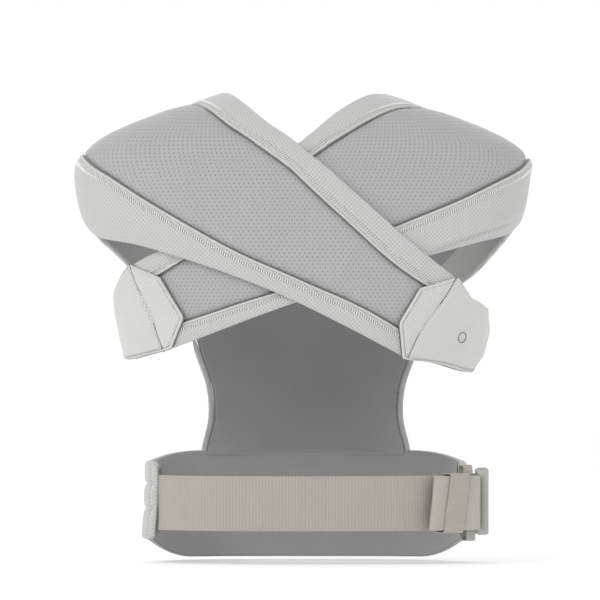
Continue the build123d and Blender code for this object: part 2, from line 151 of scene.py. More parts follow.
def at_angle(angle, z):
    """Points of the form at an angle in degrees about Z, and a height."""
    a = np.radians(np.asarray(angle, float))
    z = np.asarray(z, float) + 0 * a
    rows = smooth_rows(TORSO, z)
    c, s = np.cos(a), np.sin(a)
    reach = reach_at(c, s, rows)
    return settle(np.stack([c * reach, rows[..., 2] + s * reach, z], -1))


def level(angles, z, lift):
    """Points of one level of the form in plan, as the CAD has them."""
    a = np.radians(np.asarray(angles, float))
    row = smooth_rows(TORSO, np.full(len(a), float(z)))
    c, s = np.cos(a), np.sin(a)
    reach = reach_at(c, s, row)
    nx = np.copysign(np.abs(c * reach / row[:, 0]) ** (ROUNDNESS - 1) / row[:, 0], c)
    ny = np.copysign(np.abs(s * reach / row[:, 1]) ** (ROUNDNESS - 1) / row[:, 1], s)
    size = np.hypot(nx, ny)
    return np.stack([c * reach + nx / size * lift, row[:, 2] + s * reach + ny / size * lift], 1)


def running(points):
    """Distance along a line of points."""
    return np.concatenate([[0], np.cumsum(np.linalg.norm(np.diff(points, axis=0), axis=1))])


def running_across(grid):
    """Distance along each row of a grid of points."""
    steps = np.linalg.norm(np.diff(grid, axis=1), axis=-1)
    return np.cumsum(np.concatenate([np.zeros((len(grid), 1)), steps], 1), 1)


def sample(at, run, line):
    """Points or values of a line, read at distances along it."""
    return np.stack([np.interp(at, run, line[:, k]) for k in range(line.shape[1])], -1)


def around(points, mirror=1, z=260.0):
    """Flat-cloth coordinates of points on the form: the way round it at one level, and the height."""
    turn = np.arange(-300.0, 131.0)
    ring = level(turn, z, 0)
    angle = np.degrees(np.arctan2(points[..., 1], points[..., 0] * mirror))
    angle = np.where(angle > 120, angle - 360, angle)
    return np.stack([np.interp(angle, turn, running(ring)), points[..., 2]], -1)


def waves(u, v, seed, size, octaves=3):
    """Smooth unevenness from -1 to 1, the same each run: sums of sine waves of about this size."""
    pick = np.random.default_rng(seed)
    total = 0.0
    for k in range(octaves * 3):
        angle, phase = pick.uniform(0, 2 * math.pi, 2)
        length = size * pick.uniform(0.6, 1.6) / (1 + k // 3 * 0.7)
        total = total + np.sin(
            2 * math.pi * (u * math.cos(angle) + v * math.sin(angle)) / length + phase
        ) / (1 + k // 3)
    return total / (octaves * 1.9)


def rise(d, start, end):
    """0 before start, 1 after end, smooth between."""
    t = np.clip((d - start) / (end - start), 0, 1)
    return t * t * (3 - 2 * t)


def bump(d, centre, half):
    """A smooth hump of height 1."""
    return np.clip(1 - ((d - centre) / half) ** 2, 0, 1) ** 2


def ridge(offset, width):
    """A bell of height 1 about offset 0."""
    return np.exp(-(offset / width) ** 2)


def fade(distance, reach):
    """1 at distance 0, dying away over a reach."""
    return np.exp(-distance / reach)


def rounded(d, radius):
    """The height of a rounded edge at distance d in from it."""
    t = np.clip(d / radius, 0, 1)
    return np.sqrt(np.clip(1 - (1 - t) ** 2, 0, 1))


# ---------------------------------------------------------------- meshes
def add_object(name, data):
    thing = bpy.data.objects.new(name, data)
    bpy.context.collection.objects.link(thing)
    return thing


def new_object(name, points, faces, uv=None):
    """A mesh object from points in millimetres; uv gives each point's place on the flat fabric."""
    mesh = bpy.data.meshes.new(name)
    mesh.from_pydata((np.asarray(points) * MM).tolist(), [], faces)
    mesh.update()
    if uv is not None:
        layer = mesh.uv_layers.new(name="cloth")
        index = np.empty(len(mesh.loops), dtype=np.int64)
        mesh.loops.foreach_get("vertex_index", index)
        layer.data.foreach_set("uv", np.asarray(uv, dtype=float)[index].ravel())
    mesh.polygons.foreach_set("use_smooth", [True] * len(mesh.polygons))
    return add_object(name, mesh)


def slab(name, base, normal, top, bottom, uv):
    """A closed slab over a grid: stations by rows, between a bottom and a top height."""
    count, rows = base.shape[:2]
    upper = base + normal * top[..., None]
    lower = base + normal * bottom[..., None]
    points = np.concatenate([upper.reshape(-1, 3), lower.reshape(-1, 3)])
    both = np.concatenate([uv.reshape(-1, 2), uv.reshape(-1, 2)])
    along, across = base[1, rows // 2] - base[0, rows // 2], base[0, 1] - base[0, 0]
    flip = np.dot(np.cross(along, across), normal[0, rows // 2]) < 0
    faces = []
    offset = count * rows

    def add(a, b, c, d):
        faces.append((a, d, c, b) if flip else (a, b, c, d))

    for i in range(count - 1):
        for j in range(rows - 1):
            a, b = i * rows + j, (i + 1) * rows + j
            add(a, b, b + 1, a + 1)
            add(a + 1 + offset, b + 1 + offset, b + offset, a + offset)
        a, b = i * rows, (i + 1) * rows
        add(a + offset, b + offset, b, a)
        a, b = a + rows - 1, b + rows - 1
        add(a, b, b + offset, a + offset)
    for a in range(rows - 1):
        add(a + offset, a, a + 1, a + 1 + offset)
        b = (count - 1) * rows + a
        add(b, b + offset, b + 1 + offset, b + 1)
    return new_object(name, points, faces, both)


OBLIQUE = (0.31, 0.22, 0.93)  # a direction that no tube runs along


def tube(name, points, radius, sides=8, closed=False):
    """A round cord of fabric or thread along points in millimetres."""
    points = np.asarray(points, float)
    count = len(points)
    if closed:
        way = np.roll(points, -1, 0) - np.roll(points, 1, 0)
    else:
        way = np.gradient(points, axis=0)
    way = unit(way)
    side = unit(np.cross(way, OBLIQUE))
    up = np.cross(side, way)
    turn = np.arange(sides) * 2 * math.pi / sides
    radius = np.broadcast_to(radius, (count,))[:, None, None]
    rings = points[:, None] + radius * (
        side[:, None] * np.cos(turn)[None, :, None] + up[:, None] * np.sin(turn)[None, :, None]
    )
    run = running(points)
    uv = np.stack(np.broadcast_arrays(run[:, None], turn[None] * radius[0, 0, 0]), -1)
    faces = []
    for i in range(count if closed else count - 1):
        a, b = i * sides, (i + 1) % count * sides
        for j in range(sides):
            k = (j + 1) % sides
            faces.append((a + j, a + k, b + k, b + j))
    if not closed:
        faces.append(tuple(range(sides))[::-1])
        faces.append(tuple(range((count - 1) * sides, count * sides)))
    return new_object(name, rings.reshape(-1, 3), faces, uv.reshape(-1, 2))


def stitches(name, starts, ends, normals, width=0.55, height=0.38):
    """Short lens-shaped stitches, each from a start to an end and standing on its normal."""
    starts, ends = np.asarray(starts, float), np.asarray(ends, float)
    way = ends - starts
    side = np.cross(way, normals)
    side /= np.maximum(np.linalg.norm(side, axis=1, keepdims=True), 1e-9)
    shape = [(0, 0, 0), (0.2, 1, 0), (0.2, 0, 1), (0.2, -1, 0), (0.2, 0, -1)]
    shape += [(0.8, 1, 0), (0.8, 0, 1), (0.8, -1, 0), (0.8, 0, -1), (1, 0, 0)]
    points = np.stack([
        starts + way * t + side * (s * width / 2) + normals * (h * height) for t, s, h in shape
    ], 1)
    ring = [(1, 2, 6, 5), (2, 3, 7, 6), (3, 4, 8, 7), (4, 1, 5, 8)]
    caps = [(0, 2, 1), (0, 3, 2), (0, 4, 3), (0, 1, 4), (9, 5, 6), (9, 6, 7), (9, 7, 8), (9, 8, 5)]
    faces = [tuple(i * 10 + k for k in face) for i in range(len(starts)) for face in ring + caps]
    return new_object(name, points.reshape(-1, 3), faces, np.zeros((len(starts) * 10, 2)))


def run_stitches(path, normals, pitch, share):
    """Starts, ends and normals of stitches that follow a path."""
    run = running(path)
    at = np.arange(0.0, run[-1] - pitch, pitch)
    return sample(at, run, path), sample(at + pitch * share, run, path), sample(at, run, normals)


# ---------------------------------------------------------------- materials
class Nodes:
    """A new material and short ways to add and join its nodes."""

    def __init__(self, name, color, rough, sheen=0.0):
        self.material = bpy.data.materials.new(name)
        self.material.use_nodes = True
        self.tree = self.material.node_tree
        self.shader = self.tree.nodes["Principled BSDF"]
        self.feed(self.shader, {"Base Color": (*color, 1), "Roughness": rough, "Sheen Weight": sheen})
        self.color = color
        self.tone = None

    def feed(self, node, inputs):
        """Gives each named input of a node its value, or links a socket to it."""
        for key, value in inputs.items():
            if isinstance(value, bpy.types.NodeSocket):
                self.tree.links.new(value, node.inputs[key])
            else:
                node.inputs[key].default_value = value

    def add(self, kind, inputs, output=0, **settings):
        """A new node with its inputs and settings; returns one of its outputs."""
        made = self.tree.nodes.new(kind)
        for key, value in settings.items():
            setattr(made, key, value)
        self.feed(made, inputs)
        return made.outputs[output]

    def math(self, operation, a, b):
        return self.add("ShaderNodeMath", {0: a, 1: b}, operation=operation)

    def cloth(self, pitch, turn=0.0, stretch=(1, 1)):
        """The fabric's own flat coordinates, one unit to a pitch in millimetres."""
        return self.add("ShaderNodeMapping", {
            "Vector": self.add("ShaderNodeUVMap", {}, uv_map="cloth"),
            "Rotation": (0, 0, math.radians(turn)),
            "Scale": (stretch[0] / pitch, stretch[1] / pitch, 1),
        })

    def dots(self, coordinates, radius, soft):
        """1 inside the holes of a regular lattice and 0 between them."""
        cell = {"Vector": coordinates, "Randomness": 0.0, "Scale": 1.0}
        distance = self.add(
            "ShaderNodeTexVoronoi", cell, "Distance", voronoi_dimensions="2D", feature="F1"
        )
        edge = {"Value": distance, "From Min": radius + soft, "From Max": radius - soft}
        return self.add("ShaderNodeMapRange", edge, interpolation_type="SMOOTHSTEP")

    def ribs(self, coordinates, axis):
        """One soft rib to a unit: the scale is 2 pi / 20, as the node's phase runs at 20 to a unit."""
        bands = {"Vector": coordinates, "Scale": 0.3142, "Distortion": 0.0}
        return self.add("ShaderNodeTexWave", bands, "Fac", wave_type="BANDS", bands_direction=axis)

    def noise(self, coordinates, scale, detail):
        return self.add(
            "ShaderNodeTexNoise", {"Vector": coordinates, "Scale": scale, "Detail": detail}, "Fac"
        )

    def object_noise(self, size, detail=3.0):
        """Unevenness of a size in millimetres, fixed to the object."""
        return self.noise(self.add("ShaderNodeTexCoord", {}, "Object"), 1 / (size * MM), detail)

    def between(self, socket, at_0, at_1):
        """A value that runs from one to another with a socket."""
        return self.add("ShaderNodeMapRange", {"Value": socket, "To Min": at_0, "To Max": at_1})

    def shade(self, socket, at_1, at_0=1.0):
        """Multiplies the base colour by a factor that runs from at_0 to at_1 with the socket."""
        factor = self.between(socket, at_0, at_1)
        self.tone = self.math("MULTIPLY", self.tone, factor) if self.tone else factor
        return self

    def finish(self, height, distance, strength):
        """Joins the tone to the colour and the height to the surface."""
        color = {0: self.color, "Scale": self.tone}
        relief = {"Distance": distance, "Strength": strength, "Height": height}
        self.feed(self.shader, {
            "Base Color": self.add("ShaderNodeVectorMath", color, operation="SCALE"),
            "Normal": self.add("ShaderNodeBump", relief),
        })
        return self.material


def perforated(name, color, stretch, radius, dark):
    """Spacer mesh: a lattice of small holes in a fine knit, with the cloth's slow unevenness."""
    m = Nodes(name, color, 0.82, 0.25)
    # Turned by 45 degrees, a square lattice has staggered rows.
    holes = m.dots(m.cloth(math.sqrt(2), 45, stretch), radius, 0.06)
    weave = m.math("MULTIPLY", m.ribs(m.cloth(0.62), "X"), m.ribs(m.cloth(0.8), "Y"))
    slow = m.object_noise(38.0)
    fine = m.object_noise(1.3)
    m.shade(holes, dark).shade(weave, 1.035, 0.97).shade(slow, 0.965, 1.03).shade(fine, 0.97, 1.02)
    height = m.math("SUBTRACT", m.math("MULTIPLY", weave, 0.22), holes)
    height = m.math("ADD", height, m.math("MULTIPLY", fine, 0.25))
    return m.finish(height, 0.00025, 0.7)


def woven(name, color, rib, across=0.9):
    """Webbing or elastic: strong ribs one way and the picks of the weave the other way."""
    m = Nodes(name, color, 0.7, 0.3)
    ribs = m.ribs(m.cloth(rib), "X")
    picks = m.ribs(m.cloth(across), "Y")
    fine = m.noise(m.cloth(0.5), 1.0, 2.0)
    slow = m.object_noise(26.0)
    m.shade(ribs, 1.05, 0.9).shade(picks, 1.03, 0.95).shade(fine, 1.06, 0.94).shade(slow, 0.96, 1.04)
    height = m.math("ADD", ribs, m.math("MULTIPLY", picks, 0.45))
    height = m.math("ADD", height, m.math("MULTIPLY", fine, 0.3))
    return m.finish(height, 0.00035, 0.8)


def knit(name, color, pitch=0.9):
    """Plain fine knit: loops at a pitch in millimetres."""
    m = Nodes(name, color, 0.9, 0.3)
    loops = m.math("MULTIPLY", m.ribs(m.cloth(pitch), "X"), m.ribs(m.cloth(pitch * 1.2), "Y"))
    slow = m.object_noise(30.0)
    fine = m.object_noise(0.9)
    m.shade(loops, 1.05, 0.92).shade(slow, 0.95, 1.04).shade(fine, 0.95, 1.05)
    return m.finish(m.math("ADD", loops, fine), 0.0002, 0.7)


def moulded(name, color):
    """Matt plastic with a fine grain."""
    m = Nodes(name, color, 0.42)
    grain = m.object_noise(0.45, 2.0)
    slow = m.object_noise(14.0)
    m.shade(slow, 0.96, 1.03).shade(grain, 0.98, 1.02)
    m.feed(m.shader, {"Roughness": m.between(slow, 0.36, 0.5)})
    return m.finish(grain, 0.00006, 0.6)


def thread(name, color):
    """Twisted sewing thread, also used for printed lines and for dark lines, most of them painted shade."""
    m = Nodes(name, color, 0.6, 0.4)
    twist = m.object_noise(0.5, 2.0)
    m.shade(twist, 0.9, 1.06)
    return m.finish(twist, 0.0001, 0.5)


DARK = perforated("dark_mesh", (0.405, 0.40, 0.407), (1 / 2.15, 1 / 3.2), 0.15, 0.5)
LIGHT = perforated("light_mesh", (0.535, 0.54, 0.53), (1 / 1.9, 1 / 1.9), 0.2, 0.6)
PAD = perforated("pad_mesh", (0.615, 0.62, 0.605), (1 / 1.65, 1 / 1.5), 0.2, 0.66)
LINING = knit("lining_knit", (0.36, 0.36, 0.36))
TAPE = knit("edge_tape", (0.50, 0.505, 0.495), 0.7)
PIPING = knit("seam_piping", (0.69, 0.69, 0.67), 0.7)
WEBBING = woven("webbing_weave", (0.415, 0.381, 0.345), 3.0)
ELASTIC = woven("elastic_weave", (0.425, 0.389, 0.352), 1.7, 0.8)
# The waist webbing again, for its folded tail and its wrap round the bar: finer ribs, and its colour painted
# lighter as painted light on these faces.
LIT_WEBBING = woven("lit_tail_weave", (0.485, 0.448, 0.41), 1.2)
PLASTIC = moulded("buckle_plastic", (0.43, 0.455, 0.425))
THREAD = thread("light_thread", (0.86, 0.86, 0.84))
# Dark lines: painted shadow in the straps' seam valleys and under the pads' edges, painted shade along the
# pads' creases, and a dark cord along the belt's end.
DARK_LINE = thread("dark_lines", (0.13, 0.125, 0.12))
GREY_THREAD = thread("grey_thread", (0.32, 0.32, 0.315))
PRINT = thread("grey_print", (0.2, 0.22, 0.24))


def dress(piece, material, slot, *stands_for, body="carrier", fill=None, drawn_by=None):
    """Gives a piece its material and body, and hides the CAD nodes that it stands for. Its slot and fill are
    not used.

    drawn_by, when given, leaves the piece unattached with its transform baked in; the body and places that it
    names are not used."""
    piece.data.materials.append(material)
    if drawn_by:
        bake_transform(piece)
    else:
        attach(piece, body)
    if stands_for:
        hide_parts(*stands_for)


def sew(name, runs, body="carrier"):
    """One piece of light thread along several runs of stitches."""
    piece = stitches(name, *[np.concatenate([run[k] for run in runs]) for k in range(3)])
    dress(piece, THREAD, "light_mesh", body=body)


# ---------------------------------------------------------------- strips, paths and distances
def resample(points, pitch):
    """The same line at even distances of about the pitch."""
    points = np.asarray(points, float)
    run = running(points)
    at = np.linspace(0, run[-1], max(3, int(round(run[-1] / pitch)) + 1))
    return sample(at, run, points)


def soften(points, radius):
    """A polyline whose inner corners are rounded by about a radius."""
    points = [np.asarray(p, float) for p in points]
    made = [points[0]]
    for before, corner, after in zip(points, points[1:], points[2:]):
        a, b = before - corner, after - corner
        reach = min(radius, np.linalg.norm(a) * 0.49, np.linalg.norm(b) * 0.49)
        a, b = a / np.linalg.norm(a) * reach, b / np.linalg.norm(b) * reach
        for t in np.linspace(0, 1, 9):
            made.append(corner + a * (1 - t) ** 2 + b * t * t)
    made.append(points[-1])
    return np.array(made)


def spline(points, pitch):
    """A smooth line through points, at even distances."""
    points = np.asarray(points, float)
    run = running(points)
    dense = smooth_rows(np.column_stack([run, points]), np.linspace(0, run[-1], 12 * len(points)))
    return resample(dense, pitch)


def distance_to(points, line):
    """How far each point is from a line of points."""
    flat = points.reshape(-1, 3)
    best = np.full(len(flat), 1e9)
    for a, b in zip(line, line[1:]):
        way = b - a
        t = np.clip(((flat - a) @ way) / max(way @ way, 1e-9), 0, 1)
        best = np.minimum(best, np.linalg.norm(flat - a - t[:, None] * way, axis=1))
    return best.reshape(points.shape[:-1])


WEB_STEPS = [0, 0.25, 0.7, 1.4]  # close columns at each edge of a strip, where it rounds over


def strip(name, path, side, width, thick, seed, wave=0.0, turn=1, start=0.0, side_waves=0.0):
    """Webbing or elastic along a path: a flat strip whose width lies along side."""
    path = np.asarray(path, float)
    side = np.broadcast_to(np.asarray(side, float), path.shape)
    way = np.gradient(path, axis=0)
    normal = unit(np.cross(way, side) * turn)
    inner = np.linspace(2.4, width - 2.4, 13)
    steps = np.concatenate([WEB_STEPS, inner, [width - d for d in reversed(WEB_STEPS)]])
    offset = steps - width / 2
    base = path[:, None] + side[:, None] * offset[None, :, None]
    normal = np.broadcast_to(normal[:, None], base.shape)
    u = running(path)[:, None] + start
    v = np.broadcast_to(steps[None], base.shape[:2])
    near = np.minimum(v, width - v)
    half = thick / 2 * (0.55 + 0.45 * rounded(near, 0.5))
    lift = wave * waves(u, v, seed, 34.0, 2) if wave else 0 * u
    if side_waves:
        base = base + side[:, None] * (side_waves * waves(u, 0 * v, seed + 5, 40.0, 1))[..., None]
    uv = np.stack(np.broadcast_arrays(u + 0 * v, v), -1)
    return slab(name, base, normal, lift + half, lift - half, uv)


def xz(points):
    """Points of the form seen at x, z from behind."""
    points = np.asarray(points, float)
    return on_form(points[:, 0], points[:, 1], -1)


# ---------------------------------------------------------------- shoulder straps
# A strap's four long lines as x, z: neck edge, neck seam, outer seam and outer edge. The right strap's x
# is mirrored. The first value is the side of the form: 1 in front, 0 at the outline, -1 behind.
FRONT_STATIONS = [
    (1, (-93, 262), (-97, 244), (-110, 201), (-112, 185)),
    (1, (-88, 300), (-100, 283), (-143, 236), (-148, 205)),
    (1, (-80, 342), (-99, 331), (-178, 281), (-174, 232)),
]
LEFT_BACK_STATIONS = [
    (0, (-76, 368), (-103, 357), (-204, 317), (-204, 262)),
    (-1, (-64, 365), (-88, 353), (-180, 300), (-184, 247)),
    (-1, (-42, 347), (-62, 333), (-140, 274), (-148, 237)),
    (-1, (-5, 320), (-18, 303), (-68, 232), (-79, 213)),
    (-1, (46, 279), (32, 259), (-6, 204), (-17, 188)),
    (-1, (91, 239), (77, 219), (50, 179), (38, 161)),
    (-1, (130, 207), (118, 190), (95, 152), (87, 134)),
]
RIGHT_BACK_STATIONS = [
    (0, (-74, 369), (-108, 356), (-203, 313), (-201, 259)),
    (-1, (-60, 370), (-90, 358), (-180, 296), (-183, 247)),
    (-1, (-30, 355), (-48, 341), (-140, 276), (-150, 237)),
    (-1, (12, 321), (0, 309), (-62, 242), (-76, 215)),
    (-1, (62, 282), (48, 270), (0, 203), (-10, 190)),
    (-1, (112, 242), (98, 230), (66, 180), (56, 166)),
    (-1, (153, 219), (144, 200), (126, 160), (120, 141)),
]
STRAP_LIFT, CROSS_LIFT = 1.0, 7.6
STRAP_THICK = 5.2
BAND_ROUND, GROOVE = 2.4, 2.6  # a band's rounded free edge, and the grooves in from both its edges
LEFT_LIFTS = [STRAP_LIFT, STRAP_LIFT, 2.2, 3.4, 5.0, 7.2] + [CROSS_LIFT] * 4
RIGHT_LIFTS = [STRAP_LIFT] * 10
STATIONS = 230

# Across a band or panel: distances in from its first line, then shares of the middle, then distances
# before its last line.
EDGE_STEPS = [0, 0.25, 0.8, 1.7, 3.0, 5.0]
SEAM_STEPS = [0, 0.4, 0.8, 1.2, 1.7, 2.4, 3.4, 5.0, 7.5]
PANEL_STEPS = [0, 0.3, 0.7, 1.3, 2.2, 3.6, 6.0, 10.0]


def across(first, last, before, after, middle):
    """Points from one line to the next, and how far each is from the two lines."""
    width = np.linalg.norm(last - first, axis=1)
    way = (last - first) / width[:, None]
    room = np.minimum(1.0, width / (before[-1] + after[-1] + 1.0))
    distances = [room * d for d in before]
    low, high = room * before[-1], width - room * after[-1]
    distances += [low + (high - low) * (k + 1) / (middle + 1) for k in range(middle)]
    distances += [width - room * d for d in reversed(after)]
    d = np.stack(distances, 1)
    return first[:, None] + way[:, None] * d[..., None], d, width[:, None] - d


def strap_lines(stations, lifts, mirror):
    """The four lines and the lift at even stations along a strap."""
    lines = []
    for k in range(4):
        rows = [(*row[k + 1], row[0]) for row in stations]
        lines.append(np.array([on_form(np.array(x * mirror, float), float(z), side) for x, z, side in rows]))
    run = running((lines[0] + lines[3]) / 2)
    places = np.linspace(0, run[-1], STATIONS)
    smooth = [settle(smooth_rows(np.column_stack([run, line]), places)) for line in lines]
    return smooth, smooth_rows(np.column_stack([run, lifts]), places)[:, 0], places


def strap_part(lines, lift, mirror, k, before, after, middle):
    """A grid over the form between lines k and k + 1 of a strap, with all that a slab needs."""
    base, d, e = across(lines[k], lines[k + 1], before, after, middle)
    base = settle(base)
    return base, form_normals(base), d, e, np.broadcast_to(lift[:, None], d.shape), around(base, mirror)


def pucker(run, d, seed, reach=7.0):
    """Small gathers where a seam draws the fabric in."""
    return waves(run, 0.2 * d, seed, 11.0) * fade(d, reach)


def loose_fold(top, base, free):
    """Heights with one shallow fold along the band's back: a groove and a swell beside it."""
    x = base[..., 0]
    place = 3.0 + 9.0 * np.clip((x - 118) / 66, 0, 1)
    fold = rise(x, 104, 122) * (1 - rise(x, 176, 192)) * (base[..., 1] < 0)
    top = top - fold * 1.9 * ridge(free - place, 1.3)
    return top + fold * 1.3 * ridge(free - place - 5.5, 3.2)


def make_strap(name, stations, lifts, mirror, seed):
    """A shoulder strap: its neck band and outer band, then the mesh between them and the seams."""
    lines, lift, run = strap_lines(stations, lifts, mirror)
    u = run[:, None]
    station = np.arange(STATIONS)[:, None]
    # Over the shoulder's outline the bands lie flatter.
    flat = ridge(station - np.argmax(lines[0][:, 2]), 20.0)
    tops = {}

    for k, label in ((0, "neck_band"), (2, "outer_band")):
        # The outer band has close columns all across, which its loose fold needs.
        steps = (EDGE_STEPS, SEAM_STEPS, 8) if k == 0 else (SEAM_STEPS, EDGE_STEPS, 40)
        base, normal, d, e, low, uv = strap_part(lines, lift, mirror, k, *steps)
        free, seam = (d, e) if k == 0 else (e, d)
        crown = STRAP_THICK - 2.3 * flat * (k == 0)
        crown = crown + 0.6 * np.sin(np.pi * np.clip(d / (d + e), 0, 1)) ** 2
        crown = crown + 0.55 * waves(u, d, seed + k, 46.0) + 0.22 * waves(u, d, seed + k + 7, 17.0, 2)
        top = (crown / 2) * (1 + rounded(free, BAND_ROUND))
        top = top + 0.42 * pucker(u, seam, seed + 3) + 0.25 * pucker(u, free, seed + 5, 4.0)
        top = top - 0.5 * ridge(seam, 9.0) - 0.9 * ridge(seam - GROOVE, 0.5)
        top = top - 1.2 * (1 - rise(seam, 0.0, 0.9)) - 0.35 * bump(seam, 6.2, 2.4)
        top = top - 0.4 * ridge(free - GROOVE, 0.6)
        if mirror < 0 and k == 2:
            # The right strap's outer band falls in below its seam at the shoulder, with one loose fold.
            widest = np.argmax(np.abs(lines[2][:, 0]))
            low = low - 5.0 * ridge(station - widest, 22.0) * rise(seam, 1.0, 15.0)
            top = loose_fold(top, base, free)
        bottom = (crown / 2) * (1 - rounded(free, BAND_ROUND)) * 0.9
        bottom = np.minimum(bottom, top - 0.4)
        band = slab(f"{name}_strap_{label}_fabric", base, normal, low + top, low + bottom, uv)
        dress(band, LIGHT, "light_mesh", f"{name}_strap_{label}", fill=0.5)
        tops[k] = (base, normal, low + top, seam)

    make_strap_panel(name, lines, lift, mirror, u, flat, seed)
    finish_seams(name, tops)


def make_strap_panel(name, lines, lift, mirror, u, flat, seed):
    """The mesh between the two bands, and the lining under it."""
    base, normal, d, e, low, uv = strap_part(lines, lift, mirror, 1, PANEL_STEPS, PANEL_STEPS, 22)
    near = np.minimum(d, e)
    top = 1.5 + 2.6 * rise(near, 0.2, 8.0) + 0.7 * rise(near, 8.0, 40.0) - 0.5 * flat
    top = top + 0.8 * waves(u, d, seed + 11, 70.0) * rise(near, 2, 22)
    top = top + 0.3 * waves(u, d, seed + 13, 24.0, 2) + 0.38 * pucker(u, near, seed + 17, 11.0)
    panel = slab(f"{name}_strap_panel_fabric", base, normal, low + top, low + top - 0.9, uv)
    dress(panel, DARK, "dark_mesh", f"{name}_strap_mesh_panel", fill=0.3)
    back = slab(f"{name}_strap_inner_lining", base, normal, low + top - 1.1, low + 0.3 + 0 * top, uv)
    dress(back, LINING, "foam", f"{name}_strap_padding", fill=0.5)


LADDER_NEAR, LADDER_FAR = 4.6, 7.6  # the cover stitches' ends, in from the seam
LADDER_PITCH, LADDER_SLANT = 2.3, 1.1


def finish_seams(name, tops):
    """Along each seam: a dark line of painted shadow in its valley, its piping and the ladder of cover
    stitches.
    """
    starts, ends, ups = [], [], []
    for k, (base, normal, top, seam) in tops.items():
        surface = base + normal * top[..., None]
        if k == 0:
            surface, seam = surface[:, ::-1], seam[:, ::-1]

        def inset(offset):
            return np.array([
                [np.interp(offset, seam[i], surface[i, :, axis]) for axis in range(3)]
                for i in range(len(surface))
            ])

        middle = normal[:, normal.shape[1] // 2]
        label = "neck" if k == 0 else "outer"
        piping = tube(f"{name}_{label}_seam_piping", inset(1.3) - middle * 0.35, 0.75, 8)
        dress(piping, PIPING, "binding")
        # The dark cord in the seam's valley is painted shadow between the band and the panel.
        away = unit(inset(0.0) - inset(2.4))
        valley = inset(0.0) + away * 0.7 - middle * 0.5
        line = tube(f"{name}_{label}_seam_shadow_line", valley, 0.65, 6)
        dress(line, DARK_LINE, "dark_mesh")
        near = inset(LADDER_NEAR)
        run = running(near)
        at = np.arange(1.0, run[-1] - 5, LADDER_PITCH)
        starts.append(sample(at, run, near))
        ends.append(sample(at + LADDER_SLANT, run, inset(LADDER_FAR)))
        ups.append(sample(at, run, middle))
    starts, ends, ups = (np.concatenate(part) for part in (starts, ends, ups))
    piece = stitches(f"{name}_strap_stitching", starts + ups * 0.25, ends + ups * 0.25, ups, 1.15, 0.7)
    dress(piece, THREAD, "light_mesh")
    # A darker stitch in each gap stands for the needle holes. The last of one seam has no next one.
    near, far = (starts[1:] + starts[:-1]) / 2, (ends[1:] + ends[:-1]) / 2
    close = np.linalg.norm(starts[1:] - starts[:-1], axis=1) < 2 * LADDER_PITCH
    piece = stitches(f"{name}_strap_stitch_holes", near[close], far[close], ups[:-1][close], 0.85, 0.4)
    dress(piece, GREY_THREAD, "light_mesh")


make_strap("left", FRONT_STATIONS + LEFT_BACK_STATIONS, LEFT_LIFTS, 1, 101)
make_strap("right", FRONT_STATIONS + RIGHT_BACK_STATIONS, RIGHT_LIFTS, -1, 202)


# ---------------------------------------------------------------- the straps' end pads
PADS = {
    "left": {
        "mirror": 1, "strap_top": CROSS_LIFT + STRAP_THICK + 0.9, "thick": 9.4, "end_thick": 9.2,
        "top": [(98.5, 197.5), (130.5, 208.5), (143.5, 190)],
        "top_wrap": [(-4, 175.5), (6, 175)],
        "bottom": [(83.2, 134), (115.1, 128.2), (143, 120.5)],
        "bottom_wrap": [(-14, 126), (-4, 138), (6, 149)],
        "left": (80.6, 166.5),
        "crease": [(130.5, 210), (116.8, 185.7), (98.0, 159.5), (85.0, 129)],
        "seed": 31,
    },
    "right": {
        "mirror": -1, "strap_top": STRAP_LIFT + STRAP_THICK + 0.9, "thick": 12.6, "end_thick": 10.5,
        "top": [(128.5, 207), (155.4, 220), (163.5, 201)],
        "top_wrap": [(-4, 179), (6, 176)],
        "bottom": [(117.5, 142.3), (140, 136), (155.2, 131.6)],
        "bottom_wrap": [(-9, 135), (-3, 141), (6, 149)],
        "left": (107.2, 170.6),
        "crease": [(156.0, 221), (146.5, 197.7), (133.6, 168.3), (123.5, 137)],
        "seed": 47,
    },
}


PAD_COUNT, PAD_ROWS = 190, 130
PAD_LINE = 2.7  # how far in from the edge the border's line runs


def pad_grid(facts):
    """A grid from the pad's top edge to its bottom edge, whose left edge is bowed out to a corner."""
    def edge(which):
        return np.concatenate([xz(facts[which]), [at_angle(a, z) for a, z in facts[which + "_wrap"]]])

    def along(line, share):
        return sample(share, running(line) / running(line)[-1], line)

    u, v = np.linspace(0, 1, PAD_COUNT), np.linspace(0, 1, PAD_ROWS)
    upper = along(resample(soften(edge("top"), 5.0), 0.5), u)
    lower = along(spline(edge("bottom"), 0.5), u)
    left = along(soften(xz([facts["top"][0], facts["left"], facts["bottom"][0]]), 4.0), v)
    base = upper[:, None] * (1 - v[:, None]) + lower[:, None] * v[:, None]
    bow = np.clip(1 - u / 0.55, 0, 1) ** 1.6
    return settle(base + (left - base[0])[None] * bow[:, None, None])


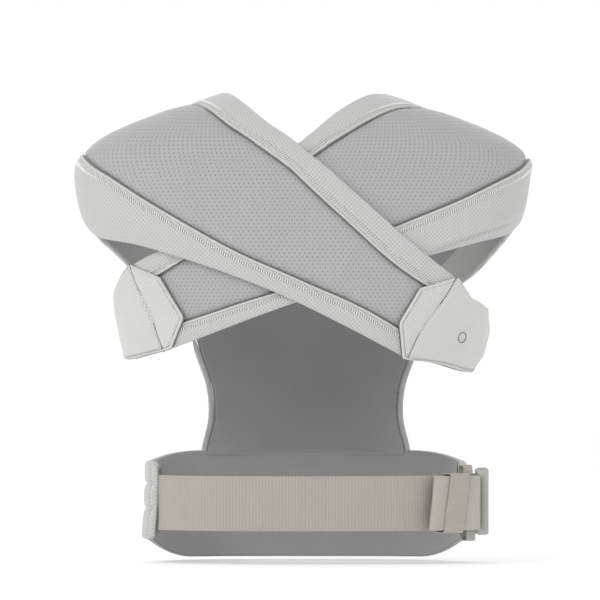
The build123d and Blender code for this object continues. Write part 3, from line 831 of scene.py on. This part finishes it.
def pad_heights(facts, base, crease):
    """The pad's outer and inner heights: a flap on the strap, then past the crease a thick pad."""
    outline = np.concatenate([base[:, 0], base[-1, 1:], base[::-1, -1][1:], base[0, ::-1][1:]])
    near = distance_to(base, outline[::3])
    border = distance_to(base, np.concatenate([base[:70:3, 0][::-1], base[0, ::3], base[:110:3, -1]]))
    line_x = np.interp(base[..., 2], crease[::-1, 2], crease[::-1, 0])
    past = distance_to(base, crease) * np.sign(base[..., 0] - line_x)
    share = np.linspace(0, 1, PAD_COUNT)[:, None] + 0 * past
    run = running(base[:, PAD_ROWS // 2])[:, None] + 0 * past
    down = running_across(base)

    seed, flat = facts["seed"], facts["strap_top"]
    slope = rise(past, 0.0, 17.0)
    low = (flat - 0.3) * (1 - slope) + 1.0 * slope
    ease = np.clip(past / 36.0, 0, 1) ** 0.85
    end = rise(share, 0.62, 1.0)
    main = (flat + 4.6) * (1 - ease) + (facts["thick"] + 1.5) * ease
    main = main * (1 - end) + (facts["end_thick"] + 1.0) * end
    flap = flat + 2.7 + 0.8 * np.sin(np.pi * np.clip(near / 22, 0, 1))
    blend = rise(past, -1.5, 2.5)
    height = flap * (1 - blend) + main * blend
    height = height - 5.2 * (1 - rise(down, 0.0, 20.0)) * rise(share, 0.5, 0.72)
    height = height + 0.55 * waves(run, down, seed, 42.0, 2) * rise(near, 2, 12)
    height = height + 0.5 * waves(run * 1.6, down * 0.35, seed + 3, 15.0, 2) * fade(np.abs(past), 9)
    height = height + 0.35 * waves(run, down, seed + 9, 11.0, 2) * fade(near, 6)
    height = height - 1.5 * ridge(past, 0.8) - 0.8 * ridge(past, 3.4)
    height = height - 0.75 * ridge(border - PAD_LINE, 0.5) + 0.3 * bump(border, 1.3, 1.4)
    middle = low + np.minimum((height + low) / 2 - low, 1.6)
    return middle + (height - middle) * rounded(near, 2.4), middle - (middle - low) * rounded(near, 1.2)


def trim_pad(name, mirror, base, height, crease):
    """The crease's dark lines of painted shade and its stitches, and the piping and lines along the left and
    lower border, one of them a dark line of painted shadow.
    """
    def laid(line, extra):
        """A line on the pad's surface, and the way up along it."""
        line = settle(resample(line, 1.0))
        ups = form_normals(line)
        nearest = [np.argmin(np.linalg.norm(base - p, axis=-1)) for p in line]
        stand = np.convolve(np.pad(height.ravel()[nearest], 3, mode="edge"), np.ones(7) / 7, "valid")
        return line + ups * (stand[:, None] + extra), ups

    border = np.concatenate([base[0, 2:PAD_ROWS - 3:3], base[2:118:3, -1]])
    inward = unit(base[70, PAD_ROWS // 2] - border)
    path, ups = laid(crease, 0.0)
    third = len(path) // 3
    # The dark cords along the crease's upper and lower thirds are painted shade in the crease.
    for part, first, last in (("upper", 2, third + 4), ("lower", 2 * third, len(path) - 2)):
        line = tube(f"{name}_pad_crease_{part}_line", path[first:last] * mirror, 0.5, 6)
        dress(line, DARK_LINE, "light_mesh")
    for part, inset, extra, radius, sides, material, slot in (
        ("piping", 1.0, -0.15, 0.9, 8, PIPING, "binding"),
        ("border_line", PAD_LINE - 0.1, 0.05, 0.4, 6, GREY_THREAD, "light_mesh"),
        # edge_line: a dark cord just outside the border and below the pad's edge, painted shadow where the
        # pad meets the strap.
        ("edge_line", -0.2, -1.0, 0.6, 6, DARK_LINE, "light_mesh"),
    ):
        line = laid(border + inward * inset, extra)[0] * mirror
        dress(tube(f"{name}_pad_{part}", line, radius, sides), material, slot)
    a, b, n = run_stitches((path + ups * 0.35)[third:2 * third], ups[third:2 * third], 2.4, 0.8)
    piece = stitches(f"{name}_pad_crease_stitches", a * mirror, b * mirror, n * mirror, 0.6, 0.35)
    dress(piece, THREAD, "light_mesh")


def make_pad(name, facts):
    """A strap's end pad, sewn over the strap and wrapped round the side; returns its surface."""
    mirror = np.array([facts["mirror"], 1, 1])
    crease = settle(resample(soften(xz(facts["crease"]), 12.0), 1.0))
    base = pad_grid(facts)
    normal = form_normals(base)
    height, low = pad_heights(facts, base, crease)
    uv = around(base, z=165.0)
    pad = slab(f"{name}_strap_end_pad_fabric", base * mirror, normal * mirror, height, low, uv)
    dress(pad, PAD, "light_mesh", f"{name}_strap_end_pad", f"{name}_strap_end_foam", fill=0.6)
    trim_pad(name, mirror, base, height, crease)
    return (base + normal * height[..., None]) * mirror


def make_mark(name, surface, centre, radius):
    """A plain printed ring on a pad."""
    seen = surface[..., [0, 2]].reshape(-1, 2)
    nearest = np.argmin(np.linalg.norm(seen - np.array(centre), axis=1))
    i, j = divmod(int(nearest), surface.shape[1])
    along = surface[i + 3, j] - surface[i - 3, j]
    down = surface[i, j + 3] - surface[i, j - 3]
    along /= np.linalg.norm(along)
    down -= along * (down @ along)
    down /= np.linalg.norm(down)
    out = np.cross(along, down)
    out = out if out[1] < 0 else -out
    turn = np.linspace(0, 2 * math.pi, 61)[:-1]
    ring = surface[i, j] + radius * (np.cos(turn)[:, None] * along + np.sin(turn)[:, None] * down)
    flat = surface.reshape(-1, 3)
    placed = []
    for p in ring:
        d = flat - p
        d = d - np.outer(d @ out, out)
        q = flat[np.argmin(np.linalg.norm(d, axis=1))]
        placed.append(p + out * ((q - p) @ out + 0.12))
    ring = np.array(placed)
    for _ in range(4):
        ring = (np.roll(ring, 1, 0) + ring * 2 + np.roll(ring, -1, 0)) / 4
    dress(tube(name, ring, 0.55, 8, closed=True), PRINT, "light_mesh")


left_surface = make_pad("left", PADS["left"])
make_mark("plain_ring_mark", left_surface, (142.0, 150.5), 4.8)
make_pad("right", PADS["right"])


# ---------------------------------------------------------------- waist belt
def belt_height(angle):
    """The belt's lower and upper edge at an angle about Z."""
    t = rise(np.sin(np.radians(angle)), 0.1, 0.6)
    return -35 - 19 * t, 38 + 8 * t


BELT_FROM, BELT_TO = -8.0, 196.5
CHANNELS = (0.397, 0.712)  # quilted channels, as shares of the belt's height
BELT_END_SEAM = 5.5
SEAM_PITCH, SEAM_SHARE = 3.2, 0.62


def belt_grid(count, rows, inset=0.0):
    """A grid round the belt: points, normals, distance along it, height and share of its height."""
    angles = np.linspace(BELT_FROM, BELT_TO, count)
    low, high = belt_height(angles)
    share = np.linspace(0, 1, rows)
    edge = 0.5 - 0.5 * np.cos(np.pi * share)
    share = share * 0.55 + edge * 0.45
    # The two ends have round corners.
    reach = np.clip(np.minimum(angles - BELT_FROM, BELT_TO - angles) / 4.5, 0, 1)
    cut = 7.0 * (1 - np.sqrt(np.clip(1 - (1 - reach) ** 2, 0, 1))) + inset
    z = (low + cut)[:, None] + (high - low - 2 * cut)[:, None] * share[None]
    base = at_angle(angles[:, None] + 0 * z, z)
    run = running(base[:, rows // 2])[:, None] + 0 * z
    return base, form_normals(base), run, z, (z - low[:, None]) / (high - low)[:, None]


def from_edges(run, z):
    """How far each point of the belt's grid is from its nearer end, and from its nearest edge."""
    end = np.minimum(run, run[-1:] - run)
    return end, np.minimum(np.minimum(z - z[:, :1], z[:, -1:] - z), end)


def make_belt_lining():
    base, normal, run, z, _ = belt_grid(200, 24, 0.8)
    edge = rounded(from_edges(run, z)[1], 0.8)
    lining = slab(
        "waist_belt_inner_lining", base, normal, 1.8 + 0.55 * edge, 1.8 - 0.7 * edge, np.stack([run, z], -1)
    )
    dress(lining, LINING, "lining", "waist_belt_lining", fill=0.2)


def make_belt():
    """The belt's padded cover with its quilted channels, end line, lining and stitches."""
    base, normal, run, z, share = belt_grid(330, 60)
    up = z - z[:, :1]
    height = z[:, -1:] - z[:, :1]
    end, near = from_edges(run, z)
    crown = 8.4 + 1.6 * np.abs(np.sin(np.pi * up / height)) ** 0.6
    for k, channel in enumerate(CHANNELS):
        off = (share - channel) * height
        crown = crown - 2.0 * ridge(off, 1.6) - 1.1 * ridge(off, 7.0)
        crown = crown + 0.5 * waves(run, off * 0.3, 61 + k, 9.0, 2) * fade(np.abs(off), 6)
    crown = crown + 0.5 * waves(run, up, 71, 60.0, 2)
    crown = crown + 0.35 * waves(run, up * 0.4, 73, 12.0, 2) * fade(near, 7)
    crown = crown - 1.6 * ridge(end - BELT_END_SEAM, 1.0) - 2.4 * ridge(end, 5.0)
    bottom = 2.7 + 0 * crown
    middle = bottom + 3.2
    top = middle + (crown + 1.2 - middle) * rounded(near, 4.2)
    low = middle - (middle - bottom) * rounded(near, 1.6)
    uv = np.stack([run, z], -1)
    cover = slab("waist_belt_padded_cover", base, normal, top, low, uv)
    dress(cover, LIGHT, "light_mesh", "waist_belt_cover", "waist_belt_foam", fill=0.6)
    end_line = tube("waist_belt_end_line", base[-1] + normal[-1] * 2.4, 1.3, 8)
    dress(end_line, DARK_LINE, "lining")
    make_belt_lining()

    surface = base + normal * top[..., None]
    middle = base.shape[1] // 2
    runs = []
    for channel in CHANNELS:
        k = np.argmin(np.abs(share - channel), axis=1)
        line = surface[np.arange(len(k)), k] + normal[np.arange(len(k)), k] * 0.2
        runs.append(run_stitches(line[6:-6], normal[6:-6, middle], SEAM_PITCH, SEAM_SHARE))
    for sign in (1, -1):
        k = np.argmin(np.abs(running(surface[::sign, middle]) - BELT_END_SEAM))
        ups = normal[::sign][k, 4:-4]
        runs.append(run_stitches(surface[::sign][k, 4:-4] + ups * 0.2, ups, SEAM_PITCH, SEAM_SHARE))
    sew("waist_belt_stitching", runs)


make_belt()


# ---------------------------------------------------------------- waist webbing and what is on it
UP = np.array([0.0, 0.0, 1.0])
BELT_WEB, STRAP_WEB, WEB_THICK = 50.0, 25.0, 1.6
WAIST_MOUTH = np.array([161.5, -9.5])
WAIST_THICK, WAIST_PLUG, WAIST_SOCKET = 12.0, 24.0, 42.0


def at_height(plan, z):
    """A line in plan, laid out at a height."""
    return np.column_stack([plan, np.full(len(plan), float(z))])


LOOP_BACK = -2.8  # how far a keeper's back stands behind the webbing's face


def closed_band(low, high, half):
    """A ring round webbing as (stand, height): it starts and ends behind it, a little overlapped."""
    ring = [(low, 0), (low, -half), (high, -half), (high, half), (low, half), (low, 1.0)]
    return [np.array(p, float) for p in ring]


WAIST_FACE = WAIST_MOUTH[0] - WAIST_THICK / 2 + 0.6 + WEB_THICK / 2  # webbing on the buckle's inner side
WAIST_BACK = level(np.arange(198, 331, 12), -20, 1 + WEB_THICK / 2)
WAIST_TURN = np.array([WAIST_FACE, WAIST_MOUTH[1] - WAIST_PLUG - 11])
# The way along the webbing's lead from the back to the buckle, and the way out from it.
LEAD_WAY = (WAIST_TURN - WAIST_BACK[-1]) / np.linalg.norm(WAIST_TURN - WAIST_BACK[-1])
LEAD_OUT = np.array([LEAD_WAY[1], -LEAD_WAY[0]])
LEAD_START = WAIST_BACK[-1] + LEAD_WAY * 1.5


def on_lead(along, height):
    """A place in plan, along the lead from the keeper's middle and out from its face."""
    return LEAD_START + LEAD_WAY * (18 + along) + LEAD_OUT * (WEB_THICK / 2 + height)


def make_waist_run():
    """The webbing across the back and its lead into the plug."""
    slot = (WAIST_FACE, WAIST_MOUTH[1] - WAIST_PLUG * 0.72)
    inner = level([190, 194], -20, 1 + WEB_THICK / 2)
    body = spline(np.concatenate([inner, WAIST_BACK]), 2.0)
    lead = resample(soften([body[-1], WAIST_TURN, slot], 9.0), 1.5)
    path = at_height(np.concatenate([body[:-1], lead]), 0)
    webbing = strip("waist_webbing_run", path, UP, BELT_WEB, WEB_THICK + 0.2, seed=81, wave=0.35)
    drawn = "waist_plug", np.append(body[-1], 0) * MM, np.append(slot, 0) * MM
    dress(webbing, WEBBING, "webbing", "waist_webbing", "waist_webbing_lead", drawn_by=drawn)


def make_waist_tail():
    """The spare webbing, folded to and fro, whose last turn leans into the plug's bar."""
    bar = np.array((WAIST_MOUTH[0] - 6.4, WAIST_MOUTH[1] - WAIST_PLUG - 1.2))
    folds = [
        (13, 2.0), (-12, 2.0), (-12.6, 4.8), (12, 4.8), (12.4, 7.6), (-15, 7.6), (-22.6, 9.2), (-21.8, 12.6),
        (16, 11.8), (24.4, 10.4),
    ]
    plan = resample(soften([on_lead(*fold) for fold in folds] + [bar], 2.4), 1.0)
    along = (plan - LEAD_START) @ LEAD_WAY - 18
    sides = UP + np.append(LEAD_WAY, 0) * 0.11 * (1 - rise(along, 0.0, 22.0))[:, None]
    tail = at_height(plan, 0)
    tail = strip("waist_tail_folded", tail, sides, BELT_WEB - 0.6, 2.2, seed=83, wave=0.15, start=30)
    # The folded tail wears the webbing painted lighter, as painted light.
    dress(tail, LIT_WEBBING, "webbing", "waist_webbing_tail", body="waist_plug")
    wrapped = np.array([(-1.3, 1.6), (-1.1, -0.8), (2.9, -0.8), (3.1, 1.6)])
    wrapped = soften(wrapped + (WAIST_MOUTH[0], WAIST_MOUTH[1] - WAIST_PLUG), 1.0)
    wrap = at_height(resample(wrapped, 0.6), 0)
    wrap = strip("waist_bar_webbing", wrap, UP, BELT_WEB - 2, 1.2, seed=82)
    # The bar's wrap wears the webbing painted lighter too, as painted light.
    dress(wrap, LIT_WEBBING, "webbing", body="waist_plug")


def waist_loop(name, along, band, width, high, seed, lean):
    """A band round the folded webbing, leaning along it; high is where its far side stands."""
    ring = resample(soften(closed_band(LOOP_BACK, high, width / 2), 2.6), 1.0)
    points = np.array([np.append(on_lead(along + lean * z, h), z) for h, z in ring])
    side = np.append(LEAD_WAY, 0)
    return strip(name, points, side, band, 1.3, seed=seed, wave=0.12, turn=-1, side_waves=0.25)


def make_waist_loops():
    """The ribbed keeper of the folded tail, and the safety loop beside the plug."""
    keeper = waist_loop("waist_tail_elastic", 0, 19.5, BELT_WEB + 3.2, 14.7, 85, 0.13)
    dress(keeper, ELASTIC, "elastic", "waist_tail_keeper", body="waist_keeper")
    safety = waist_loop("waist_safety_elastic", 16.2, 9, BELT_WEB + 18.2, 7.5, 87, -0.05)
    # The loop stays unattached, with its transform baked in.
    drawn = "waist_plug", *(np.append(on_lead(at, 0), 0) * MM for at in (-5, 10))
    dress(safety, WEBBING, "elastic", "waist_safety_loop", drawn_by=drawn)


def make_waist_anchor():
    """The webbing that holds the socket, sewn on the belt's front."""
    anchor_y = WAIST_MOUTH[1] + WAIST_SOCKET
    belt_face = 1 + 10.5 + 1.4 + 1.2 + WEB_THICK / 2
    on_belt = level([24, 29, 34, 39], -20, belt_face + 0.6)
    plan = np.concatenate([[(WAIST_FACE, anchor_y - 5), (WAIST_FACE, anchor_y + 3)], on_belt])
    anchor = strip("waist_anchor_webbing", at_height(spline(plan, 2.0), 0), UP, BELT_WEB, WEB_THICK, seed=89)
    dress(anchor, WEBBING, "webbing", "waist_buckle_anchor")


make_waist_run()
make_waist_tail()
make_waist_loops()
make_waist_anchor()


# ---------------------------------------------------------------- the strap buckles' webbing
def make_side(name, mirror):
    """A strap's webbing into its plug, its folded tail and keeper, and the webbing of the socket."""
    angle, height, lift = 26.5, 163.0, 10.4  # the socket's mouth, as the CAD has it
    thick, socket, plug = 9.0, 31.0, 20.0  # the buckle's thickness and the lengths of its two parts
    flip = np.array([mirror, 1.0])
    base = level([angle], height, 0)[0]
    out = level([angle], height, 1)[0] - base
    out /= np.linalg.norm(out)
    back = np.array([out[1], -out[0]])
    mouth = base + out * lift
    low = 0.6 + WEB_THICK / 2 - thick / 2

    def place(along, stand):
        return mouth + back * along + out * stand

    def web(piece_name, plan, width, depth, seed, run_from=0.0):
        line = at_height(plan * flip, height)
        return strip(piece_name, line, UP, width, depth, seed=seed, turn=mirror, start=run_from)

    start = level([7.5], height, 3)[0]
    hidden = level([-2.0], height, 2.6)[0]
    lead = resample(soften([hidden, start, place(plug + 9, low), place(plug * 0.72, low)], 9.0), 1.2)
    webbing = web(f"{name}_lead_webbing", lead, STRAP_WEB, WEB_THICK, 91)
    ends = (np.append(p * flip, height) * MM for p in (start, place(plug * 0.72, low)))
    dress(webbing, WEBBING, "webbing", f"{name}_webbing_lead", drawn_by=(f"{name}_plug", *ends))

    edge_x, edge_y = panel_edge(height)
    anchor = [place(5 - socket, low), place(-socket - 3, low), (edge_x + 3, edge_y + 2.5)]
    anchor = resample(soften(anchor, 3.0), 1.2)
    anchor = web(f"{name}_anchor_webbing", anchor, STRAP_WEB, WEB_THICK, 93)
    dress(anchor, WEBBING, "webbing", f"{name}_buckle_anchor")

    way = place(plug + 9, low) - start
    way /= np.linalg.norm(way)
    outward = np.array([way[1], -way[0]])

    def beside_lead(along, stand):
        return start + way * (10 + along) + outward * (1.2 + stand)

    folds = [(8.5, 1.6), (-7.6, 1.6), (-7.6, 3.4), (8.0, 3.4)]
    plan = resample(soften([beside_lead(*fold) for fold in folds], 1.8), 0.8)
    tail = web(f"{name}_tail_folded", plan, STRAP_WEB - 0.4, 1.6, 95, 20)
    dress(tail, WEBBING, "webbing", f"{name}_webbing_tail", body=f"{name}_plug")
    ring = resample(soften(closed_band(LOOP_BACK, 5.0, STRAP_WEB / 2 + 1.6), 2.0), 0.8)
    points = np.array([np.append(beside_lead(1, h) * flip, height + z) for h, z in ring])
    loop = strip(f"{name}_tail_elastic", points, np.append(way * flip, 0), 9, 1.1, seed=97, turn=-mirror)
    dress(loop, ELASTIC, "elastic", f"{name}_tail_keeper", body=f"{name}_keeper")


# ---------------------------------------------------------------- front panel and head support
# Height, half width, and how far the panel's middle stands out in front of the form.
PANEL = [
    (41.0, 92, 5), (47.5, 92, 12), (76, 86, 38), (105, 88, 55), (135, 98, 62), (163, 106, 63), (195, 108, 57),
    (228, 101, 46), (258, 92, 34),
]
FABRIC = 1.6
POUCH_ROUNDNESS = 2.2
PANEL_HEM = 232  # the height of the stitched hem
HEM_PITCH = 2.9
LEG_LOW, LEG_TOP = 44.0, 148


def panel_edge(z):
    """The x and y of the panel's right edge at a height."""
    half, _ = smooth_rows(PANEL, np.array([float(z)]))[0]
    edge_y = settle(on_form(np.array([half]), np.array([float(z)]), 1), 2 + 2 * FABRIC)[0, 1]
    return half, edge_y - FABRIC * 0.8


def panel_grid(count, rows):
    """A grid over the pouch: points, normals, distance across from the middle, and height."""
    z = np.linspace(PANEL[0][0], PANEL[-1][0], count)
    half, stand = smooth_rows(PANEL, z).T
    edge_y = settle(on_form(half, z, 1), np.full(count, 2 + 2 * FABRIC))[:, 1]
    front_y = on_form(0 * z, z, 1)[:, 1] + stand
    t = np.linspace(-1, 1, rows)
    t = 0.6 * t + 0.4 * np.sin(t * math.pi / 2)  # closer columns near the edges
    x = half[:, None] * t[None]
    deep = (front_y - edge_y)[:, None]
    y = edge_y[:, None] + deep * (1 - np.abs(t[None]) ** POUCH_ROUNDNESS)
    base = np.stack([x, y, z[:, None] + 0 * x], -1)
    slope = -POUCH_ROUNDNESS * deep / half[:, None] * np.abs(t) ** 1.2 * np.sign(t)
    normal = unit(np.stack([-slope, np.ones_like(slope), 0 * slope], -1))
    across = running_across(base)
    across = across - across[:, rows // 2 : rows // 2 + 1]
    return base, normal, across, z[:, None] + 0 * x


def make_panel():
    """The pouch's outer mesh, its lining and the two rows of stitches along its hem."""
    base, normal, across, z = panel_grid(130, 110)
    reach = np.abs(across[:, :1])
    near = np.minimum(reach - np.abs(across), np.minimum(z - PANEL[0][0], PANEL[-1][0] - z))
    soft = rise(near, 1, 16)
    uv = np.stack([z, across], -1)
    top = 0.5 * waves(across, z, 111, 60.0, 2) * soft
    top = top + 0.35 * waves(across * 0.5, z, 113, 16.0, 2) * fade(near, 9)
    top = top - 0.9 * ridge(np.abs(z - PANEL_HEM), 1.1)
    top = top - 0.8 + 0.8 * rounded(near, 1.6)
    outer = slab("front_panel_mesh", base, normal, top, top * 0 - FABRIC, uv)
    dress(outer, DARK, "dark_mesh", "front_panel_outer", fill=0.3)
    second = FABRIC + 0.35
    inside = -second - FABRIC + 0.3 * waves(across, z, 117, 50.0, 2) * soft
    lining = slab("front_panel_inner_lining", base, normal, -second + 0 * top, inside, uv)
    dress(lining, LINING, "lining", "front_panel_lining", fill=0.3)

    surface = base + normal * top[..., None]
    hem = int(np.argmin(np.abs(z[:, 0] - PANEL_HEM)))
    runs = []
    for k in (hem + 2, hem - 3):
        ups = normal[k, 4:-4]
        runs.append(run_stitches(surface[k, 4:-4] + ups * 0.15, ups, HEM_PITCH, SEAM_SHARE))
    sew("front_panel_stitching", runs)


def make_panel_tapes(label, side):
    """A turned-over tape along a leg opening, as high as the CAD's, and a thinner hem above it."""
    def edge_line(heights, out):
        edges = [panel_edge(h) for h in heights]
        return np.array([((x + out) * side, y, h) for (x, y), h in zip(edges, heights)])

    heights = np.linspace(LEG_LOW, LEG_TOP, 50)
    radius = (2.5 + 0.12 * np.sin(heights * 1.9)) * (1 - 0.5 * rise(heights, LEG_TOP - 8, LEG_TOP))
    tape = tube(f"{label}_leg_tape", edge_line(heights, 1.9), radius, 14)
    dress(tape, TAPE, "binding", f"{label}_leg_binding", fill=0.7)
    hem = edge_line(np.linspace(LEG_TOP, PANEL[-1][0] - 0.5, 50), 0.3)
    dress(tube(f"{label}_panel_edge_tape", hem, 1.9, 12), TAPE, "binding", fill=0.7)


SUPPORT_LOW, SUPPORT_TALL, SUPPORT_HALF, SUPPORT_SAG = 261.0, 70.0, 76.0, 16.0
SUPPORT_LAYER = 4.4
SUPPORT_SEAM = 6.5


def support_front():
    """Where the panel's top edge stands in front, on which the head support is sewn."""
    return panel_grid(4, 3)[0][-1, 1, 1]


def support_grid(x, z, front_y):
    """Points and normals of the head support's gentle bow."""
    base = np.stack([x, front_y - SUPPORT_SAG * np.abs(x / SUPPORT_HALF) ** 2, z], -1)
    return base, unit(np.stack([2 * SUPPORT_SAG * x / SUPPORT_HALF ** 2, np.ones_like(x), 0 * x], -1))


def make_head_support():
    """The padded flap: its face, its back and a row of stitches all round."""
    count, rows = 60, 84
    z = np.linspace(SUPPORT_LOW, SUPPORT_LOW + SUPPORT_TALL, count)
    lift = (z - SUPPORT_LOW) / SUPPORT_TALL
    half = SUPPORT_HALF * (1 - 0.16 * lift ** 2)
    corner = np.clip((lift - 0.8) / 0.2, 0, 1)
    half = half - 12 * (1 - np.sqrt(1 - corner ** 2 * 0.999))
    x = half[:, None] * np.linspace(-1, 1, rows)[None]
    up = z[:, None] + 0 * x
    base, normal = support_grid(x, up, support_front())
    ends = np.minimum(z - SUPPORT_LOW, SUPPORT_LOW + SUPPORT_TALL - z)
    near = np.minimum(half[:, None] - np.abs(x), ends[:, None])
    puff = 1.1 * rise(near, 0, 26) + 0.45 * waves(x, up, 121, 36.0, 2) * rise(near, 1, 12)
    puff = puff + 0.4 * waves(x, up, 123, 10.0, 2) * fade(near, 6) - 0.9 * ridge(near - SUPPORT_SEAM, 0.8)
    layer = SUPPORT_LAYER
    top = -layer / 2 + (layer / 2 + puff) * rounded(near, 3.0)
    bottom = -layer / 2 - (layer / 2) * rounded(near, 1.2)
    uv = np.stack([x, up], -1)
    cover = slab("head_support_face", base, normal, top, bottom, uv)
    dress(cover, LIGHT, "light_mesh", "head_support_cover", body="head_support", fill=0.6)
    outer = bottom * 0 - layer - 0.35 - 0.8 * (1 - rounded(near, 2))
    inner = -2 * layer + 2.2 - 2.2 * rounded(near, 3.0) - 0 * top
    inner = slab("head_support_back", base, normal, outer, inner, uv)
    dress(inner, LINING, "foam", "head_support_padding", body="head_support", fill=0.6)

    surface = base + normal * (top[..., None] + 0.15)
    lines = []
    for edge_z in (SUPPORT_LOW + SUPPORT_TALL - SUPPORT_SEAM, SUPPORT_LOW + SUPPORT_SEAM):
        lines.append(surface[int(np.argmin(np.abs(z - edge_z))), 8:-8])
    for sign in (1, -1):
        picked = [int(np.argmin(np.abs(half[i] - SUPPORT_SEAM - sign * x[i]))) for i in range(6, count - 6)]
        lines.append(surface[range(6, count - 6), picked])
    sew("head_support_stitching", [
        run_stitches(line, np.broadcast_to([0, 1.0, 0], line.shape), HEM_PITCH, SEAM_SHARE) for line in lines
    ], "head_support")


def make_hinge_tape():
    """A strip of mesh that joins the panel's top edge to the flap."""
    low, high = PANEL[-1][0] - 7, SUPPORT_LOW + 7
    front_y = support_front()
    x, z = np.meshgrid(np.linspace(-70, 70, 60), np.linspace(low, high, 18), indexing="ij")
    base, normal = support_grid(x, z, front_y + 0.9)
    edge = rounded(np.minimum(z - low, high - z), 0.7)
    uv = np.stack([x, z], -1)
    hinge = slab("head_support_hinge_tape", base, normal, 0.4 + 0.35 * edge, 0.4 - 0.35 * edge, uv)
    bend = ((0, front_y * MM, z * MM) for z in (PANEL[-1][0] - 0.5, SUPPORT_LOW + 0.5))
    dress(hinge, TAPE, "binding", drawn_by=("head_support", *bend))


make_panel()
make_panel_tapes("right", 1)
make_panel_tapes("left", -1)
make_head_support()
make_hinge_tape()
make_side("right_side", 1)
make_side("left_side", -1)

# The buckles keep their CAD meshes.
for node_name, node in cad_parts.items():
    if "buckle_" in node_name and "anchor" not in node_name:
        for node_slot in node.material_slots:
            node_slot.material = PLASTIC


# ---------------------------------------------------------------- floor, light and camera
FLOOR_GLOW = 0.30


def make_stage():
    """A pale floor that turns up into a plain backdrop all round, far outside every view."""
    low = CAD_BOX[0][2] - 0.002
    flat, bend = 13.0, 6.0
    profile = [(1.5, low), (flat, low)]
    profile += [
        (flat + bend * math.sin(a), low + bend - bend * math.cos(a)) for a in np.linspace(0.12, 1.57, 16)
    ]
    profile.append((flat + bend, low + 22.0))
    sides = 72
    turn = np.linspace(0, 2 * math.pi, sides + 1)[:-1]
    points = [(r * math.cos(a) / MM, r * math.sin(a) / MM, z / MM) for r, z in profile for a in turn]
    faces = [tuple(range(sides))]
    for i in range(len(profile) - 1):
        a, b = i * sides, (i + 1) * sides
        for j in range(sides):
            k = (j + 1) % sides
            faces.append((a + j, b + j, b + k, a + k))
    floor = new_object("floor", points, faces)
    m = Nodes("pale_floor", (0.8, 0.8, 0.8), 0.95)
    glow = {"Specular IOR Level": 0.0, "Emission Color": (1, 1, 1, 1), "Emission Strength": FLOOR_GLOW}
    m.feed(m.shader, glow)
    floor.data.materials.append(m.material)


def add_light(name, place, target, size, power):
    lamp = bpy.data.lights.new(name, "AREA")
    lamp.size, lamp.energy = size, power
    thing = add_object(name, lamp)
    thing.location = place
    thing.rotation_euler = (Vector(target) - Vector(place)).to_track_quat("-Z", "Y").to_euler()


def make_lights():
    world = bpy.data.worlds.new("studio")
    world.use_nodes = True
    background = world.node_tree.nodes["Background"]
    background.inputs["Color"].default_value = (1, 1, 1, 1)
    background.inputs["Strength"].default_value = 0.7
    bpy.context.scene.world = world
    centre = (0, 0, 0.18)
    add_light("key", (-1.9, -2.4, 2.3), centre, 1.3, 27)
    add_light("fill", (2.8, -2.4, 0.7), centre, 2.4, 3)
    add_light("front", (-0.6, 2.6, 2.0), centre, 2.0, 16)


def make_camera():
    """A long lens level with the back's middle, square to it."""
    distance, frame_width, centre = 8.0, 0.5436, (-0.0054, 0.1848)
    camera = bpy.data.cameras.new("camera")
    camera.sensor_width = 36
    camera.lens = 36 * (distance - 0.1) / frame_width
    camera.clip_end = 100
    thing = add_object("camera", camera)
    thing.location = (centre[0], -distance, centre[1])
    thing.rotation_euler = (math.radians(90), 0, 0)
    bpy.context.scene.camera = thing


make_stage()
make_lights()
make_camera()
bpy.context.scene.view_settings.view_transform = "Standard"
